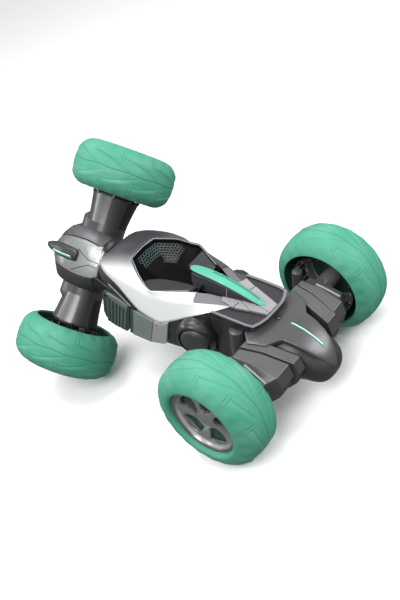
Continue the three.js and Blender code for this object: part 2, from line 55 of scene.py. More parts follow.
MM = 0.001
TYRE_R = 52.5
TYRE_HALF = 24.0
CROWN = 1.0
SHOULDER_R = 15.6
SHOULDER_AT_R = TYRE_R - CROWN - SHOULDER_R
SHOULDER_AT_Y = TYRE_HALF - SHOULDER_R
WELD = 0.01  # vertices closer than this are one
PIN_REACH = 0.3  # how near a vertex has to be to a corner to be pinned
SIDES = (("left", 1), ("right", -1))

# ---- frames

JOINTS = {j["name"]: j for j in frame["record"]["behaviour"]["joints"]}


def axes_frame(origin, x_axis, y_axis):
    """The matrix that carries millimetres in a frame into the shared frame."""
    x = Vector(x_axis).normalized()
    y = Vector(y_axis).normalized()
    z = x.cross(y)
    columns = Matrix((x, y, z)).transposed().to_4x4()
    return Matrix.Translation(origin) @ columns @ Matrix.Scale(MM, 4)


def joint_middle(a, b):
    return (Vector(JOINTS[a]["pos_m"]) + Vector(JOINTS[b]["pos_m"])) / 2


FORWARD = Vector(JOINTS["front_twist"]["axis"])
REAR_AXLE = joint_middle("rear_left_wheel_spin", "rear_right_wheel_spin")
FRONT_AXLE = joint_middle("front_left_wheel_spin", "front_right_wheel_spin")
CAR = axes_frame(REAR_AXLE, FORWARD, JOINTS["rear_left_wheel_spin"]["axis"])
FRONT = axes_frame(FRONT_AXLE, FORWARD, JOINTS["front_left_wheel_spin"]["axis"])


def wheel_frame(end, side):
    joint, sign = JOINTS[f"{end}_{side}_wheel_spin"], dict(SIDES)[side]
    return axes_frame(joint["pos_m"], sign * FORWARD, sign * Vector(joint["axis"]))


# ---- camera, floor and light

def put_in_scene(name, data):
    made = bpy.data.objects.new(name, data)
    SCENE.collection.objects.link(made)
    return made


def set_camera():
    turn = CAR.to_3x3().normalized()
    right = turn @ Vector((-0.789, -0.599, -0.135))
    up = turn @ Vector((0.333, -0.602, 0.725))
    facing = Matrix((right, up, right.cross(up))).transposed().to_4x4()
    data = bpy.data.cameras.new("camera")
    data.lens = 49.8
    data.sensor_width = 36
    camera = put_in_scene("camera", data)
    camera.matrix_world = Matrix.Translation(CAR @ Vector((-315.3, 410.9, 531.7))) @ facing
    SCENE.camera = camera


def area_light(name, at, size, power):
    data = bpy.data.lights.new(name, "AREA")
    data.size = size
    data.energy = power
    light = put_in_scene(name, data)
    light.location = at
    aim = Vector((0, 0, 0.08)) - Vector(at)
    light.rotation_euler = aim.to_track_quat("-Z", "Y").to_euler()


def set_stage():
    SCENE.view_settings.view_transform = "Standard"
    bpy.ops.mesh.primitive_plane_add(size=8)
    floor = bpy.context.object
    floor.name = "floor"
    white = moulded("floor_white", (0.93, 0.93, 0.93), 0.6, grain=400, depth=0.00002, spread=0.01)
    floor.data.materials.append(white)
    floor.visible_diffuse = False
    floor.visible_glossy = False
    world = bpy.data.worlds.new("studio")
    SCENE.world = world
    world.use_nodes = True
    tree = world.node_tree
    background = tree.nodes["Background"]
    height = node(tree, "SeparateXYZ")
    feed(node(tree, "TexCoord").outputs["Generated"], height, "Vector")
    greys = ((0, 0.32), (0.3, 0.42), (0.7, 0.88), (1, 1))
    feed(ramp(tree, height.outputs["Z"], [(at, (grey,) * 3) for at, grey in greys]), background, "Color")
    set_inputs(background, {"Strength": 1})
    area_light("key", (-0.7, 1.2, 1.5), 0.9, 26)
    area_light("top", (0.3, 0.1, 1.7), 0.7, 14)
    area_light("nose", (1.3, 0.7, 0.8), 0.5, 5)
    area_light("tail", (-1.3, -0.9, 0.8), 0.9, 18)


# ---- materials

def node(tree, kind, inputs=(), **values):
    """A new node, with some of its inputs and properties set."""
    made = tree.nodes.new("ShaderNode" + kind)
    for key, value in values.items():
        setattr(made, key, value)
    set_inputs(made, dict(inputs))
    return made


def set_inputs(target, values):
    for key, value in values.items():
        target.inputs[key].default_value = value


def feed(source, target, key):
    target.id_data.links.new(source, target.inputs[key])


def start_material(name, colour, roughness, metallic=0.0, coat=0.0, specular=0.5):
    """A new material, with its node tree and its shader."""
    material = bpy.data.materials.new(name)
    material.use_nodes = True
    shader = material.node_tree.nodes["Principled BSDF"]
    set_inputs(shader, {"Base Color": (*colour, 1), "Roughness": roughness, "Metallic": metallic,
                        "Coat Weight": coat, "Coat Roughness": 0.12, "Specular IOR Level": specular})
    return material, material.node_tree, shader


def noise(tree, scale, detail):
    """A noise texture's output, in the piece's own space."""
    texture = node(tree, "TexNoise", {"Scale": scale, "Detail": detail})
    feed(node(tree, "TexCoord").outputs["Object"], texture, "Vector")
    return texture.outputs["Fac"]


def ramp(tree, source, stops):
    """A colour ramp's output, from (position, colour) stops."""
    made = node(tree, "ValToRGB")
    elements = made.color_ramp.elements
    while len(elements) < len(stops):
        elements.new(0.5)
    for element, (at, colour) in zip(elements, stops):
        element.position = at
        element.color = (*colour, 1)
    feed(source, made, "Fac")
    return made.outputs["Color"]


def add_bump(tree, shader, scale, detail, strength, distance):
    bump = node(tree, "Bump", {"Strength": strength, "Distance": distance})
    feed(noise(tree, scale, detail), bump, "Height")
    feed(bump.outputs["Normal"], shader, "Normal")


def moulded(name, colour, roughness, metallic=0.0, coat=0.0, grain=2200, depth=0.00006, spread=0.12,
            specular=0.5):
    """Moulded plastic or painted metal: a fine grain, and slow changes of tone and gloss."""
    material, tree, shader = start_material(name, colour, roughness, metallic, coat, specular)
    darker = [c * (1 - spread) for c in colour]
    lighter = [min(c * (1 + spread), 1) for c in colour]
    feed(ramp(tree, noise(tree, 22, 2), [(0.3, darker), (0.7, lighter)]), shader, "Base Color")
    low, high = (max(roughness - 0.05, 0.02),) * 3, (min(roughness + 0.07, 1),) * 3
    feed(ramp(tree, noise(tree, 60, 4), [(0.3, low), (0.75, high)]), shader, "Roughness")
    add_bump(tree, shader, grain, 2, 0.25, depth)
    return material


def rubber(name, colour):
    """Soft matte tyre rubber with a faint cloudy bloom and a fine skin; the tread_shade attribute darkens the
    grooves as painted shade.
    """
    material, tree, shader = start_material(name, colour, 0.62, specular=0.32)
    dark = [c * share for c, share in zip(colour, (0.84, 0.93, 0.92))]
    pale = [min(c * share, 1) for c, share in zip(colour, (1.45, 1.08, 1.12))]
    tone = ramp(tree, noise(tree, 34, 4), [(0.3, dark), (0.5, colour), (0.68, pale)])
    # Painted shade read from the tyre: darker in the grooves.
    cut = node(tree, "Attribute", attribute_name="tread_shade")
    shades = [(0, (1, 1, 1)), (0.3, (0.9, 0.95, 0.94)), (1, (0.3, 0.55, 0.5))]
    mixed = node(tree, "Mix", {"Factor": 1}, data_type="RGBA", blend_type="MULTIPLY")
    feed(tone, mixed, "A")
    feed(ramp(tree, cut.outputs["Fac"], shades), mixed, "B")
    feed(mixed.outputs["Result"], shader, "Base Color")
    add_bump(tree, shader, 900, 4, 0.3, 0.00012)
    return material


def graded_paint(name, start, end, stops, roughness, metallic):
    """Metallic paint whose colour follows a ramp between two points of the car frame."""
    material, tree, shader = start_material(name, stops[0][1], roughness, metallic, 0.35)
    along = CAR @ Vector(end) - CAR @ Vector(start)
    shifted = node(tree, "VectorMath", {1: CAR @ Vector(start)}, operation="SUBTRACT")
    feed(node(tree, "TexCoord").outputs["Object"], shifted, 0)
    share = node(tree, "VectorMath", {1: along / along.length_squared}, operation="DOT_PRODUCT")
    feed(shifted.outputs["Vector"], share, 0)
    feed(ramp(tree, share.outputs["Value"], stops), shader, "Base Color")
    add_bump(tree, shader, 2600, 2, 0.12, 0.00004)
    return material


def glowing(name, colour, strength):
    material, tree, shader = start_material(name, colour, 0.25)
    set_inputs(shader, {"Emission Color": (*colour, 1), "Emission Strength": strength})
    stops = [(0.3, [c * 0.9 for c in colour]), (0.7, colour)]
    feed(ramp(tree, noise(tree, 300, 2), stops), shader, "Base Color")
    return material


# The shell's ramp, from silver on the left flank to dark on the right, is mostly painted shade laid over the
# shell's own silver and dark paint. The nose's ramp darkens towards the front.
SHELL_PAINTED_SHADE = [(0, (0.93, 0.935, 0.95)), (0.28, (0.8, 0.81, 0.83)), (0.5, (0.42, 0.425, 0.435)),
              (0.66, (0.2, 0.2, 0.21)), (0.85, (0.085, 0.085, 0.092)), (1, (0.06, 0.06, 0.066))]
NOSE_RAMP = [(0, (0.32, 0.33, 0.333)), (0.35, (0.21, 0.22, 0.22)), (0.8, (0.115, 0.12, 0.12)),
             (1, (0.08, 0.082, 0.085))]

# Material name, colour, roughness, metallic and coat
PLASTICS = {
    "fin_groove": ("mint_plastic_shade", (0.03, 0.2, 0.13), 0.5),
    # brighter grey metal, laid on as a painted highlight on the rim barrel and the nose facets
    "rim_lip": ("rim_lip_metal", (0.4, 0.4, 0.41), 0.28, 0.35, 0.2),
    "rim_edge": ("rim_edge_paint", (0.16, 0.16, 0.17), 0.3, 0.7, 0.2),
    "hub": ("hub_metal", (0.3, 0.3, 0.31), 0.34, 0.5, 0.1),
    "web": ("wheel_web", (0.012, 0.045, 0.035), 0.5),
    "band": ("nose_band_plastic", (0.075, 0.077, 0.082), 0.38, 0.3, 0.1),
    "facet": ("tail_facet_grey", (0.13, 0.13, 0.14), 0.4),
    "lip": ("lip_grey", (0.2, 0.202, 0.208), 0.4, 0.1, 0.1),
    "trim": ("trim_grey", (0.26, 0.262, 0.28), 0.34, 0.25, 0.15),
    "deck": ("deck_grey", (0.27, 0.268, 0.278), 0.4, 0.15, 0.1),
    "vent": ("vent_grey_green", (0.045, 0.062, 0.059), 0.42, 0.1, 0.1),
    "vent_slat": ("vent_slat_grey_green", (0.075, 0.098, 0.094), 0.42, 0.1, 0.1),
    "hood": ("hood_grey_green", (0.135, 0.155, 0.152), 0.42, 0.1, 0.1),
    "panel": ("panel_grey_green", (0.18, 0.21, 0.204), 0.42, 0.1, 0.1),
    "panel_pale": ("panel_pale_grey", (0.29, 0.3, 0.307), 0.42, 0.1, 0.1),
    "cap": ("cap_plastic", (0.04, 0.042, 0.044), 0.45, 0.1, 0.1),
    "cover": ("rear_cover_plastic", (0.09, 0.09, 0.094), 0.34, 0.45, 0.1),
    "screw": ("screw_metal", (0.12, 0.12, 0.125), 0.35, 0.8),
    "leg": ("leg_side_plastic", (0.052, 0.052, 0.055), 0.4, 0.2, 0.1),
    # lighter and darker copies of the leg plastic, for painted light and shade
    "leg_top": ("leg_top_plastic", (0.1, 0.1, 0.104), 0.36, 0.35, 0.1),
    "front_leg": ("front_leg_plastic", (0.045, 0.045, 0.047), 0.36, 0.3, 0.1),
    "front_leg_light": ("front_leg_lit_plastic", (0.13, 0.13, 0.132), 0.36, 0.3, 0.1),
    "steel": ("steel", (0.6, 0.6, 0.61), 0.25, 0.95),
    "nylon": ("nylon", (0.74, 0.72, 0.66), 0.45),
    "light_bed": ("light_bed_green", (0.03, 0.22, 0.15), 0.4),
}
MATERIALS = {
    **{key: moulded(*values) for key, values in PLASTICS.items()},
    "tyre": rubber("mint_rubber", (0.066, 0.3, 0.205)),
    "tyre_inside_painted_shade": rubber("mint_rubber_inside_painted_shade", (0.006, 0.04, 0.028)),
    "fin": moulded("mint_plastic", (0.075, 0.37, 0.26), 0.42, grain=1600),
    "rim": moulded("gunmetal_paint", (0.27, 0.27, 0.28), 0.34, 0.65, 0.1, grain=2600),
    # The shell's paint carries painted shade across the car.
    "shell": graded_paint("shell_paint_and_painted_shade", (100, 40, 30), (103, 4, 30), SHELL_PAINTED_SHADE, 0.34, 0.2),
    "nose": graded_paint("nose_paint", (199, 4, 26), (270, 8, 20), NOSE_RAMP, 0.36, 0.3),
    "graphite": moulded("graphite_plastic", (0.027, 0.027, 0.03), 0.42, 0.15, coat=0.1, specular=0.4),
    "graphite_pale": moulded("graphite_pale_plastic", (0.15, 0.152, 0.162), 0.38, coat=0.1),
    "black": moulded("black_plastic", (0.012, 0.012, 0.014), 0.3, coat=0.2),
    "canopy": moulded("canopy_gloss", (0.005, 0.005, 0.006), 0.35, depth=0.00001, specular=0.02),
    "canopy_wall": moulded("canopy_wall_gloss", (0.035, 0.035, 0.037), 0.3, specular=0.3),
    "cell": moulded("honeycomb_walls", (0.05, 0.056, 0.055), 0.4, specular=0.3),
    "cell_green": moulded("honeycomb_walls_green", (0.022, 0.066, 0.053), 0.4, specular=0.3),
    "leg_low_painted_shade": moulded("leg_low_painted_shade_plastic", (0.012, 0.012, 0.013), 0.5, specular=0.3),
    "board": moulded("solder_mask", (0.01, 0.1, 0.04), 0.4, coat=0.3),
    "battery": moulded("battery_sleeve", (0.03, 0.06, 0.16), 0.35, coat=0.3),
    "light": glowing("light_strip", (0.6, 0.92, 0.8), 0.22),
}

# ---- mesh helpers


def modify(piece, kind, **values):
    modifier = piece.modifiers.new(kind.lower(), kind)
    for key, value in values.items():
        setattr(modifier, key, value)


def add_piece(name, shape, place, body, material, slot, replaces=(), bevel=0.0, angle=32, subdivide=0,
              creases=None, thickness=0.0, corners=(), paint=None):
    """Makes a named piece from (vertices, faces) drawn in millimetres in the frame `place`."""
    vertices, faces = shape
    mesh = bpy.data.meshes.new(name)
    mesh.from_pydata([place @ Vector(v) for v in vertices], [], faces)
    mesh.update()
    clean = bmesh.new()
    clean.from_mesh(mesh)
    bmesh.ops.remove_doubles(clean, verts=clean.verts, dist=WELD * MM)
    bmesh.ops.recalc_face_normals(clean, faces=clean.faces)
    if creases:
        mark_creases(clean, creases, place, corners)
    clean.to_mesh(mesh)
    clean.free()
    piece = put_in_scene(name, mesh)
    for key in [material] if isinstance(material, str) else material:
        mesh.materials.append(MATERIALS[key])
    if paint:
        turn = place.to_3x3().normalized().inverted()
        for polygon in mesh.polygons:
            polygon.material_index = paint(turn @ polygon.normal)
    mesh.polygons.foreach_set("use_smooth", [True] * len(mesh.polygons))
    if thickness:
        modify(piece, "SOLIDIFY", thickness=thickness * MM, offset=-1, use_even_offset=True)
    if subdivide:
        modify(piece, "SUBSURF", levels=subdivide, render_levels=subdivide)
    elif bevel:
        modify(piece, "BEVEL", width=bevel * MM, segments=2, limit_method="ANGLE",
               angle_limit=radians(angle))
        modify(piece, "WEIGHTED_NORMAL", keep_sharp=False)
    else:
        mesh.set_sharp_from_angle(angle=radians(angle))
    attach(piece, body)
    if replaces:
        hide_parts(*replaces)


def on_car(name, shape, material, slot="trim_grey", replaces=(), **looks):
    add_piece(name, shape, CAR, "chassis", material, slot, replaces, **looks)


def on_front(name, shape, material, slot, replaces=(), **looks):
    add_piece(name, shape, FRONT, "front_end", material, slot, replaces, **looks)


def mark_creases(mesh, test, place, corners):
    """Sets each edge's crease to test(end, end, on the boundary), in millimetres, and pins the corners."""
    pins = mesh.verts.layers.float.get("crease_vert") or mesh.verts.layers.float.new("crease_vert")
    carried = [place @ Vector(c) for c in corners]
    for vertex in mesh.verts:
        if any((vertex.co - c).length < PIN_REACH * MM for c in carried):
            vertex[pins] = 1.0
    layer = mesh.edges.layers.float.get("crease_edge") or mesh.edges.layers.float.new("crease_edge")
    back = place.inverted()
    for edge in mesh.edges:
        a, b = (back @ v.co for v in edge.verts)
        edge[layer] = test(a, b, edge.is_boundary)


def join(*shapes):
    vertices, faces = [], []
    for more, more_faces in shapes:
        base = len(vertices)
        vertices += [tuple(v) for v in more]
        faces += [tuple(base + i for i in f) for f in more_faces]
    return vertices, faces


def moved(shape, offset=(0, 0, 0), turn=None):
    vertices, faces = shape
    spin = turn or Matrix.Identity(3)
    return [tuple(spin @ Vector(v) + Vector(offset)) for v in vertices], faces


def turn_about(axis, deg):
    return Matrix.Rotation(radians(deg), 3, axis)


def mirrored_y(shape):
    vertices, faces = shape
    return [(x, -y, z) for x, y, z in vertices], [tuple(reversed(f)) for f in faces]


def sided(shape, sign):
    """A shape drawn for the left, or its mirror image for the right."""
    return shape if sign > 0 else mirrored_y(shape)


def closed_outline(half):
    """A left-hand chain of points and its mirror image, as one loop."""
    return half + [(x, -y, z) for x, y, z in reversed(half) if y > 0]


def lofted(rings, caps=True, closed=True):
    """A skin through rings of equally many points."""
    count = len(rings[0])
    vertices = [p for r in rings for p in r]
    faces = []
    for s in range(len(rings) - 1):
        for i in range(count if closed else count - 1):
            j = (i + 1) % count
            faces.append((s * count + i, s * count + j, (s + 1) * count + j, (s + 1) * count + i))
    if caps and closed:
        faces.append(tuple(reversed(range(count))))
        faces.append(tuple((len(rings) - 1) * count + i for i in range(count)))
    return vertices, faces


def sheet(rows, thickness):
    """A plate whose upper skin passes through rows of points."""
    return lofted([row + [(x, y, z - thickness) for x, y, z in reversed(row)] for row in rows])


def turned(profile, steps=64, ring=False):
    """(radius, y) points turned about Y; a ring's profile closes on itself."""
    rings = []
    for k in range(steps):
        a = tau * k / steps
        rings.append([(r * cos(a), y, r * sin(a)) for r, y in profile])
    rings.append(rings[0])
    return lofted(rings, caps=False, closed=ring)


def box(x0, x1, y0, y1, z0, z1):
    return lofted([[(x0, y0, z), (x1, y0, z), (x1, y1, z), (x0, y1, z)] for z in (z0, z1)])


def soft_ring(x, wide, up, down, z, count, powers):
    """A rounded section at x, as half-sizes sideways, up and down; low powers give squarer corners."""
    ring = []
    for k in range(count):
        c, s = cos(tau * k / count), sin(tau * k / count)
        across_y = wide * copysign(abs(c) ** powers[0], c)
        ring.append((x, across_y, z + (up if s > 0 else down) * copysign(abs(s) ** powers[1], s)))
    return ring


def ribbon(path, width, height, up=(0, 0, 1)):
    """A bar of rectangular section along a path."""
    rings = []
    for i, point in enumerate(path):
        ahead = Vector(path[min(i + 1, len(path) - 1)]) - Vector(path[max(i - 1, 0)])
        side = ahead.normalized().cross(Vector(up)).normalized() * width / 2
        rise = side.cross(ahead).normalized() * height / 2
        corners = (side + rise, rise - side, -side - rise, side - rise)
        rings.append([tuple(Vector(point) + corner) for corner in corners])
    return lofted(rings)


# ---- tyres

REPEATS = 10  # of the tread's pattern round the tyre
LENGTH = 1.3  # of a branch groove, in repeats
TREAD_START = 0.35  # radians
FINE_STEPS = 480  # round the tyre
SKIN_STEPS = 112  # across it
GROOVE_HALF = 0.6
BRANCH_HALF = 0.55
BAR_SPAN = (10.5, 19)  # where the pairs of short bars start and end, across the skin


def shoulder(deg, side):
    a = radians(deg)
    return SHOULDER_AT_R + SHOULDER_R * cos(a), side * SHOULDER_AT_Y + SHOULDER_R * sin(a)


def tyre_profile():
    """(radius, y) along the tyre's skin, evenly spaced, from its inboard lip over the tread to the rim."""
    path = [shoulder(deg, -1) for deg in range(-78, 1, 3)]
    for i in range(1, 16):
        y = SHOULDER_AT_Y * (i / 8 - 1)
        path.append((TYRE_R - CROWN * (y / SHOULDER_AT_Y) ** 2, y))
    path += [shoulder(deg, 1) for deg in range(0, 91, 3)]
    path = np.array(path + [(34.4, 23.7), (33, 22.4), (32.5, 20.8), (32.4, 18.6)])
    lengths = np.concatenate([[0], np.cumsum(np.hypot(*np.diff(path, axis=0).T))])
    even = np.linspace(0, lengths[-1], SKIN_STEPS)
    return np.interp(even, lengths, path[:, 0]), np.interp(even, lengths, path[:, 1])


def across(radius, y):
    """How far round the section a point of the skin lies from the tread's middle, outboard positive."""
    bend = np.arctan2(np.abs(y) - SHOULDER_AT_Y, np.maximum(radius - SHOULDER_AT_R, 0.01))
    return np.where(np.abs(y) > SHOULDER_AT_Y, np.sign(y) * (SHOULDER_AT_Y + SHOULDER_R * bend), y)


def tread(theta, v):
    """Groove depth, swell and shoulder scallops, each 0 to 1, at angles and places across the skin."""
    pitch = tau / REPEATS
    main = 0.2 + 0.5 * np.sin(REPEATS * theta)
    groove = 0.85 * np.exp(-((v - main) / GROOVE_HALF) ** 2)
    swell = np.zeros_like(groove)
    for side, reach, phase in ((1, 21, 0), (-1, -19, 0.45)):
        bars = np.clip((side * v - BAR_SPAN[0]) * 1.2, 0, 1) * np.clip((BAR_SPAN[1] - side * v) * 1.2, 0, 1)
        for k in range(REPEATS):
            past = theta - (k + phase) * pitch
            along = past % tau / (LENGTH * pitch)
            inside = along < 1
            share = along.clip(0, 1)
            drop = reach * 0.62 - main
            branch = main + drop * (1 - share ** 1.6)
            slope = 1 / np.sqrt(1 + (1.6 * drop * share ** 0.6 / (LENGTH * pitch * 50)) ** 2)
            fade = np.clip(along * 14, 0, 1) * (0.9 - (0.4 if side > 0 else 0.75) * share)
            cut = np.exp(-((v - branch) * slope / BRANCH_HALF) ** 2) * fade * inside
            groove = np.maximum(groove, cut)
            lift = np.exp(-((v - branch - side * 3.4) / 2.4) ** 2) * np.sin(np.pi * share) * inside
            swell = np.maximum(swell, lift)
            for shift in (-1.5, 1.5):
                off = ((past + pi) % tau - pi) * 47 - shift
                groove = np.maximum(groove, 0.75 * np.exp(-(off / 0.5) ** 2) * bars)
    scallop = np.exp(-((np.abs(v) - 24) / 4.5) ** 2) * (0.5 + 0.5 * np.sin(2 * REPEATS * theta))
    return groove, swell, scallop


def make_tyre(end, side):
    radius, y = tyre_profile()
    v = across(radius, y)
    angles = (np.arange(FINE_STEPS) * tau / FINE_STEPS)[:, None]
    groove, swell, scallop = tread((angles * dict(SIDES)[side] + TREAD_START) % tau, v[None, :])
    slope_r, slope_y = np.gradient(radius), np.gradient(y)
    length = np.hypot(slope_r, slope_y)
    fade = np.clip((33 - np.abs(v)) / 4, 0, 1)
    rise = (-0.25 - 0.55 * groove + 0.5 * swell - 0.55 * scallop) * fade
    skin = np.stack([radius + slope_y / length * rise, y - slope_r / length * rise], axis=2)
    inner = [(32.8, 17.2), (33.6, 8), (34.6, 2), (36.4, -8.5), (38, -17), (38.9, -21.3)]
    skin = np.concatenate([skin, np.tile(inner, (FINE_STEPS, 1, 1))], axis=1)
    r, count = skin[:, :, 0], skin.shape[1]
    points = np.stack([r * np.cos(angles), skin[:, :, 1], r * np.sin(angles)], axis=2).reshape(-1, 3)
    place = wheel_frame(end, side)
    points = points @ np.array(place.to_3x3()).T + np.array(place.translation)
    index = np.arange(FINE_STEPS * count).reshape(FINE_STEPS, count)
    beside, ahead = np.roll(index, -1, axis=1), np.roll(index, -1, axis=0)
    faces = np.stack([index, beside, np.roll(ahead, -1, axis=1), ahead], axis=2).reshape(-1, 4)
    name = f"tyre_{end}_{side}"
    mesh = bpy.data.meshes.new(name)
    mesh.from_pydata(points.tolist(), [], faces.tolist())
    # The tyre's inner faces take a near-black green as painted shade.
    for key in ("tyre", "tyre_inside_painted_shade"):
        mesh.materials.append(MATERIALS[key])
    inside = (faces % count).min(axis=1) >= len(y) - 1
    mesh.polygons.foreach_set("material_index", inside.astype(np.int32))
    mesh.polygons.foreach_set("use_smooth", [True] * len(faces))
    shade = mesh.attributes.new("tread_shade", "FLOAT", "POINT")
    # Painted shade: the grooves darken the rubber's colour, less where the tread swells.
    depth = np.hstack([groove - 0.35 * swell, np.zeros((FINE_STEPS, len(inner)))])
    shade.data.foreach_set("value", depth.astype(np.float32).ravel())
    piece = put_in_scene(name, mesh)
    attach(piece, f"{end}_{side}_wheel")
    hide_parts(f"{end}_tyre_{side}")


# ---- rims

SPOKES = 5
FIRST_SPOKE = radians(55)
SPOKE_CURL = 0.009  # radians per millimetre outwards
WINDOW_DEPTH = 2.4
WINDOW_R = (9, 9.2, 9.7, 10.8, 12.4, 14.5, 17, 19, 21, 23, 24.6, 25.8, 26.6, 27.1, 27.4)
WINDOW_HALF = (0, 1.3, 2.5, 3.8, 5, 6.1, 7.2, 8.1, 9, 9.8, 10.2, 10.2, 9.4, 7.6, 0)
PLATE_R = (0, 2, 4, 6, 8, 10, 13, 17, 21, 24, 26, 28.2)
PLATE_TOP = (17.4, 17.3, 17, 16.5, 15.9, 15.3, 14.6, 14.1, 14.1, 14.6, 15.2, 15.8)


def spoke_plate(sweep):
    """The hub's dome and the five spokes as one pressed plate, cut by five rounded windows."""
    shapes = []
    for number in range(SPOKES):
        rings, walls = [], ([], [])
        for r in (0.6, 2, 4, 6, 8, *WINDOW_R, 28.2):
            window = float(np.interp(r, WINDOW_R, WINDOW_HALF))
            top = float(np.interp(r, PLATE_R, PLATE_TOP))
            middle = sweep * (FIRST_SPOKE + number * tau / SPOKES + SPOKE_CURL * (r - 6))
            half = pi / SPOKES - window / r
            ring = []
            for k in range(11):
                off = k / 5 - 1
                a = middle + half * off
                ring.append((r * cos(a), top - 0.6 * abs(off) ** 4 * min(window / 2, 1), r * sin(a)))
            rings.append(ring)
            if WINDOW_R[0] <= r <= WINDOW_R[-1]:
                for side, (x, y, z) in zip(walls, (ring[0], ring[-1])):
                    side.append([(x, y, z), (x * 0.99, y - WINDOW_DEPTH, z * 0.99)])
        shapes += [lofted(skin, closed=False) for skin in (rings, *walls)]
    return join(*shapes)


def make_rim(end, side):
    place = wheel_frame(end, side)

    def add(part, shape, material, **looks):
        name = f"rim_{end}_{side}_{part}"
        add_piece(name, shape, place, f"{end}_{side}_wheel", material, "rim_gunmetal", **looks)

    # The barrel's faces that look outboard take the brighter metal as a painted highlight; those that look
    # inboard take the rim paint.
    barrel = [(29.3, 18.6), (28, 15.8), (27.6, 8), (29.6, 3), (32.4, 1), (33.6, 1.2), (33, 4),
              (31, 14), (30.6, 17.4)]
    add("barrel", turned(barrel, 96, ring=True), ["rim_lip", "rim"], replaces=(f"{end}_rim_{side}",),
        paint=lambda n: 1 if n.y < -0.3 else 0)
    lip = [(29, 16.6), (29.2, 18.4), (29.8, 19.4), (31.6, 20), (32.3, 19.8), (32.3, 16.6)]
    add("lip", turned(lip, 96, ring=True), "rim_edge")
    add("spokes", spoke_plate(dict(SIDES)[side]), "rim")
    drum = [(31, 1), (30.6, -16), (31, -17), (32.4, -17), (32.4, 1)]
    add("drum", turned(drum, ring=True), "black")
    fin = box(28.2, 31.2, -15.5, 1.4, -0.6, 0.6)
    add("fins", join(*[moved(fin, turn=turn_about("Y", 20 * k)) for k in range(18)]), "rim", bevel=0.3)
    add("hub", turned([(0, -14), (8.5, -14), (8.5, 9), (7, 13), (0, 13.2)], 48), "hub")
    # A dark green disc behind the spokes fills the windows as painted shade of the wheel's inside.
    add("web", turned([(6, 10.2), (27.6, 10.2), (27.6, 11.4), (6, 11.4)], ring=True), "web")


# ---- body shell

# Left-hand lines of the silver shell at falling x: centre height, cockpit rim, ridge and lower edge
SHELL_LINES = [
    (186, 34, (16, 33.8), (22.6, 32.6), (24, 31.4)),
    (183, 35.8, (18, 35.2), (26.4, 33.6), (27.6, 31.4)),
    (175, 40, (19.5, 38.4), (31.4, 35.2), (32.6, 30.4)),
    (163, 44.2, (19.5, 42.2), (35.4, 36.4), (36.4, 29.6)),
    (150, 47.2, (17, 45), (37.8, 37.4), (39, 26.6)),
    (143, 0, (21.8, 44.3), (38.8, 37.4), (40.2, 20.4)),
    (131, 0, (30, 42.6), (39.4, 36.6), (41.2, 9.6)),
    (127, 0, (32, 41.1), (39.4, 35.3), (41.3, 6.9)),
    (118, 0, (36, 37.8), (39, 31.8), (41.4, 5)),
    (111, 0, (38.3, 37), (39.4, 31), (41.3, 3.6)),
    (103, 0, (34.6, 37.3), (37.6, 30), (41, 1.8)),
    (88, 0, (27.2, 37.9), (34, 31.4), (37.6, 10)),
    (77, 0, (21.8, 38.3), (30.8, 32.4), (34.9, 16.1)),
    (70, 0, (18.4, 38.5), (28.4, 33), (33.2, 20)),
    (60, 0, (13.6, 37.4), (23.8, 33.4), (30.8, 25.6)),
    (50, 0, (9.8, 35.2), (19.2, 33.2), (28.4, 31.2)),
    (43, 0, (8.2, 34), (16.2, 33), (21.4, 32.4)),
    (36, 0, (12.6, 33), (13, 33), (13.6, 32.6)),
]

# Stations where a line turns a hard corner
RIM_CORNERS = (150, 131, 111, 70)
RIDGE_CORNERS = (183, 70, 36)
LOW_CORNERS = (183, 127, 103, 36)


def shell_half():
    """The left half's vertices, the silver skin's faces and the tail facets' faces, which are painted grey as
    shade.
    """
    vertices, silver, facets = [], [], []
    for x, centre, rim, ridge, low in SHELL_LINES:
        vertices += [(x, 0, centre), (x, *rim), (x, (rim[0] + ridge[0]) / 2, (rim[1] + ridge[1]) / 2),
                     (x, *ridge), (x, (ridge[0] + low[0]) / 2 + 0.5, (ridge[1] + low[1]) / 2), (x, *low)]
    for i, (x, *_) in enumerate(SHELL_LINES[1:]):
        for j in range(0 if x >= RIM_CORNERS[0] else 1, 5):
            a = i * 6 + j
            chosen = facets if j in (1, 2) and x < RIM_CORNERS[-1] else silver
            chosen.append((a, a + 1, a + 7, a + 6))
    return vertices, silver, facets


def ridge_y(x):
    stations = [(s[0], s[3][0]) for s in SHELL_LINES][::-1]
    return float(np.interp(x, *zip(*stations)))


def make_shell():
    vertices, silver, facets = shell_half()

    def both(faces):
        return join((vertices, faces), mirrored_y((vertices, faces)))

    def crease(a, b, boundary):
        ridge = all(abs(abs(end.y) - ridge_y(end.x)) < PIN_REACH for end in (a, b))
        return 1.0 if boundary else 0.72 if ridge and abs(a.x - b.x) > 1 else 0.0

    pinned = [(x, s * line[0], line[1]) for x, _, rim, ridge, low in SHELL_LINES for s in (1, -1)
              for at, line in ((RIM_CORNERS, rim), (RIDGE_CORNERS, ridge), (LOW_CORNERS, low)) if x in at]
    on_car("shell_skin", both(silver), "shell", "shell_silver", ("body_shell",), subdivide=2,
           creases=crease, thickness=0.9, corners=pinned)
    # The tail facets behind the cockpit belong to the silver skin and are painted grey as shade.
    on_car("shell_tail_facets", moved(both(facets), (0, 0, -0.6)), "facet")


# The grey lip under the shell: (x, upper y, upper z, lower y, lower z)
LIP = [
    (187.2, 0, 31, 0, 23), (187.2, 21, 30.8, 23, 22.4), (184.6, 26.2, 30.4, 30, 21.6),
    (175, 32.4, 29.4, 37.4, 19.6), (163, 36.2, 28.6, 40.8, 15.6), (153, 38.4, 26.6, 41.6, 12.8),
    (143, 40.2, 19.4, 42, 8.8), (133, 41.2, 10, 41.9, 6.2),
]


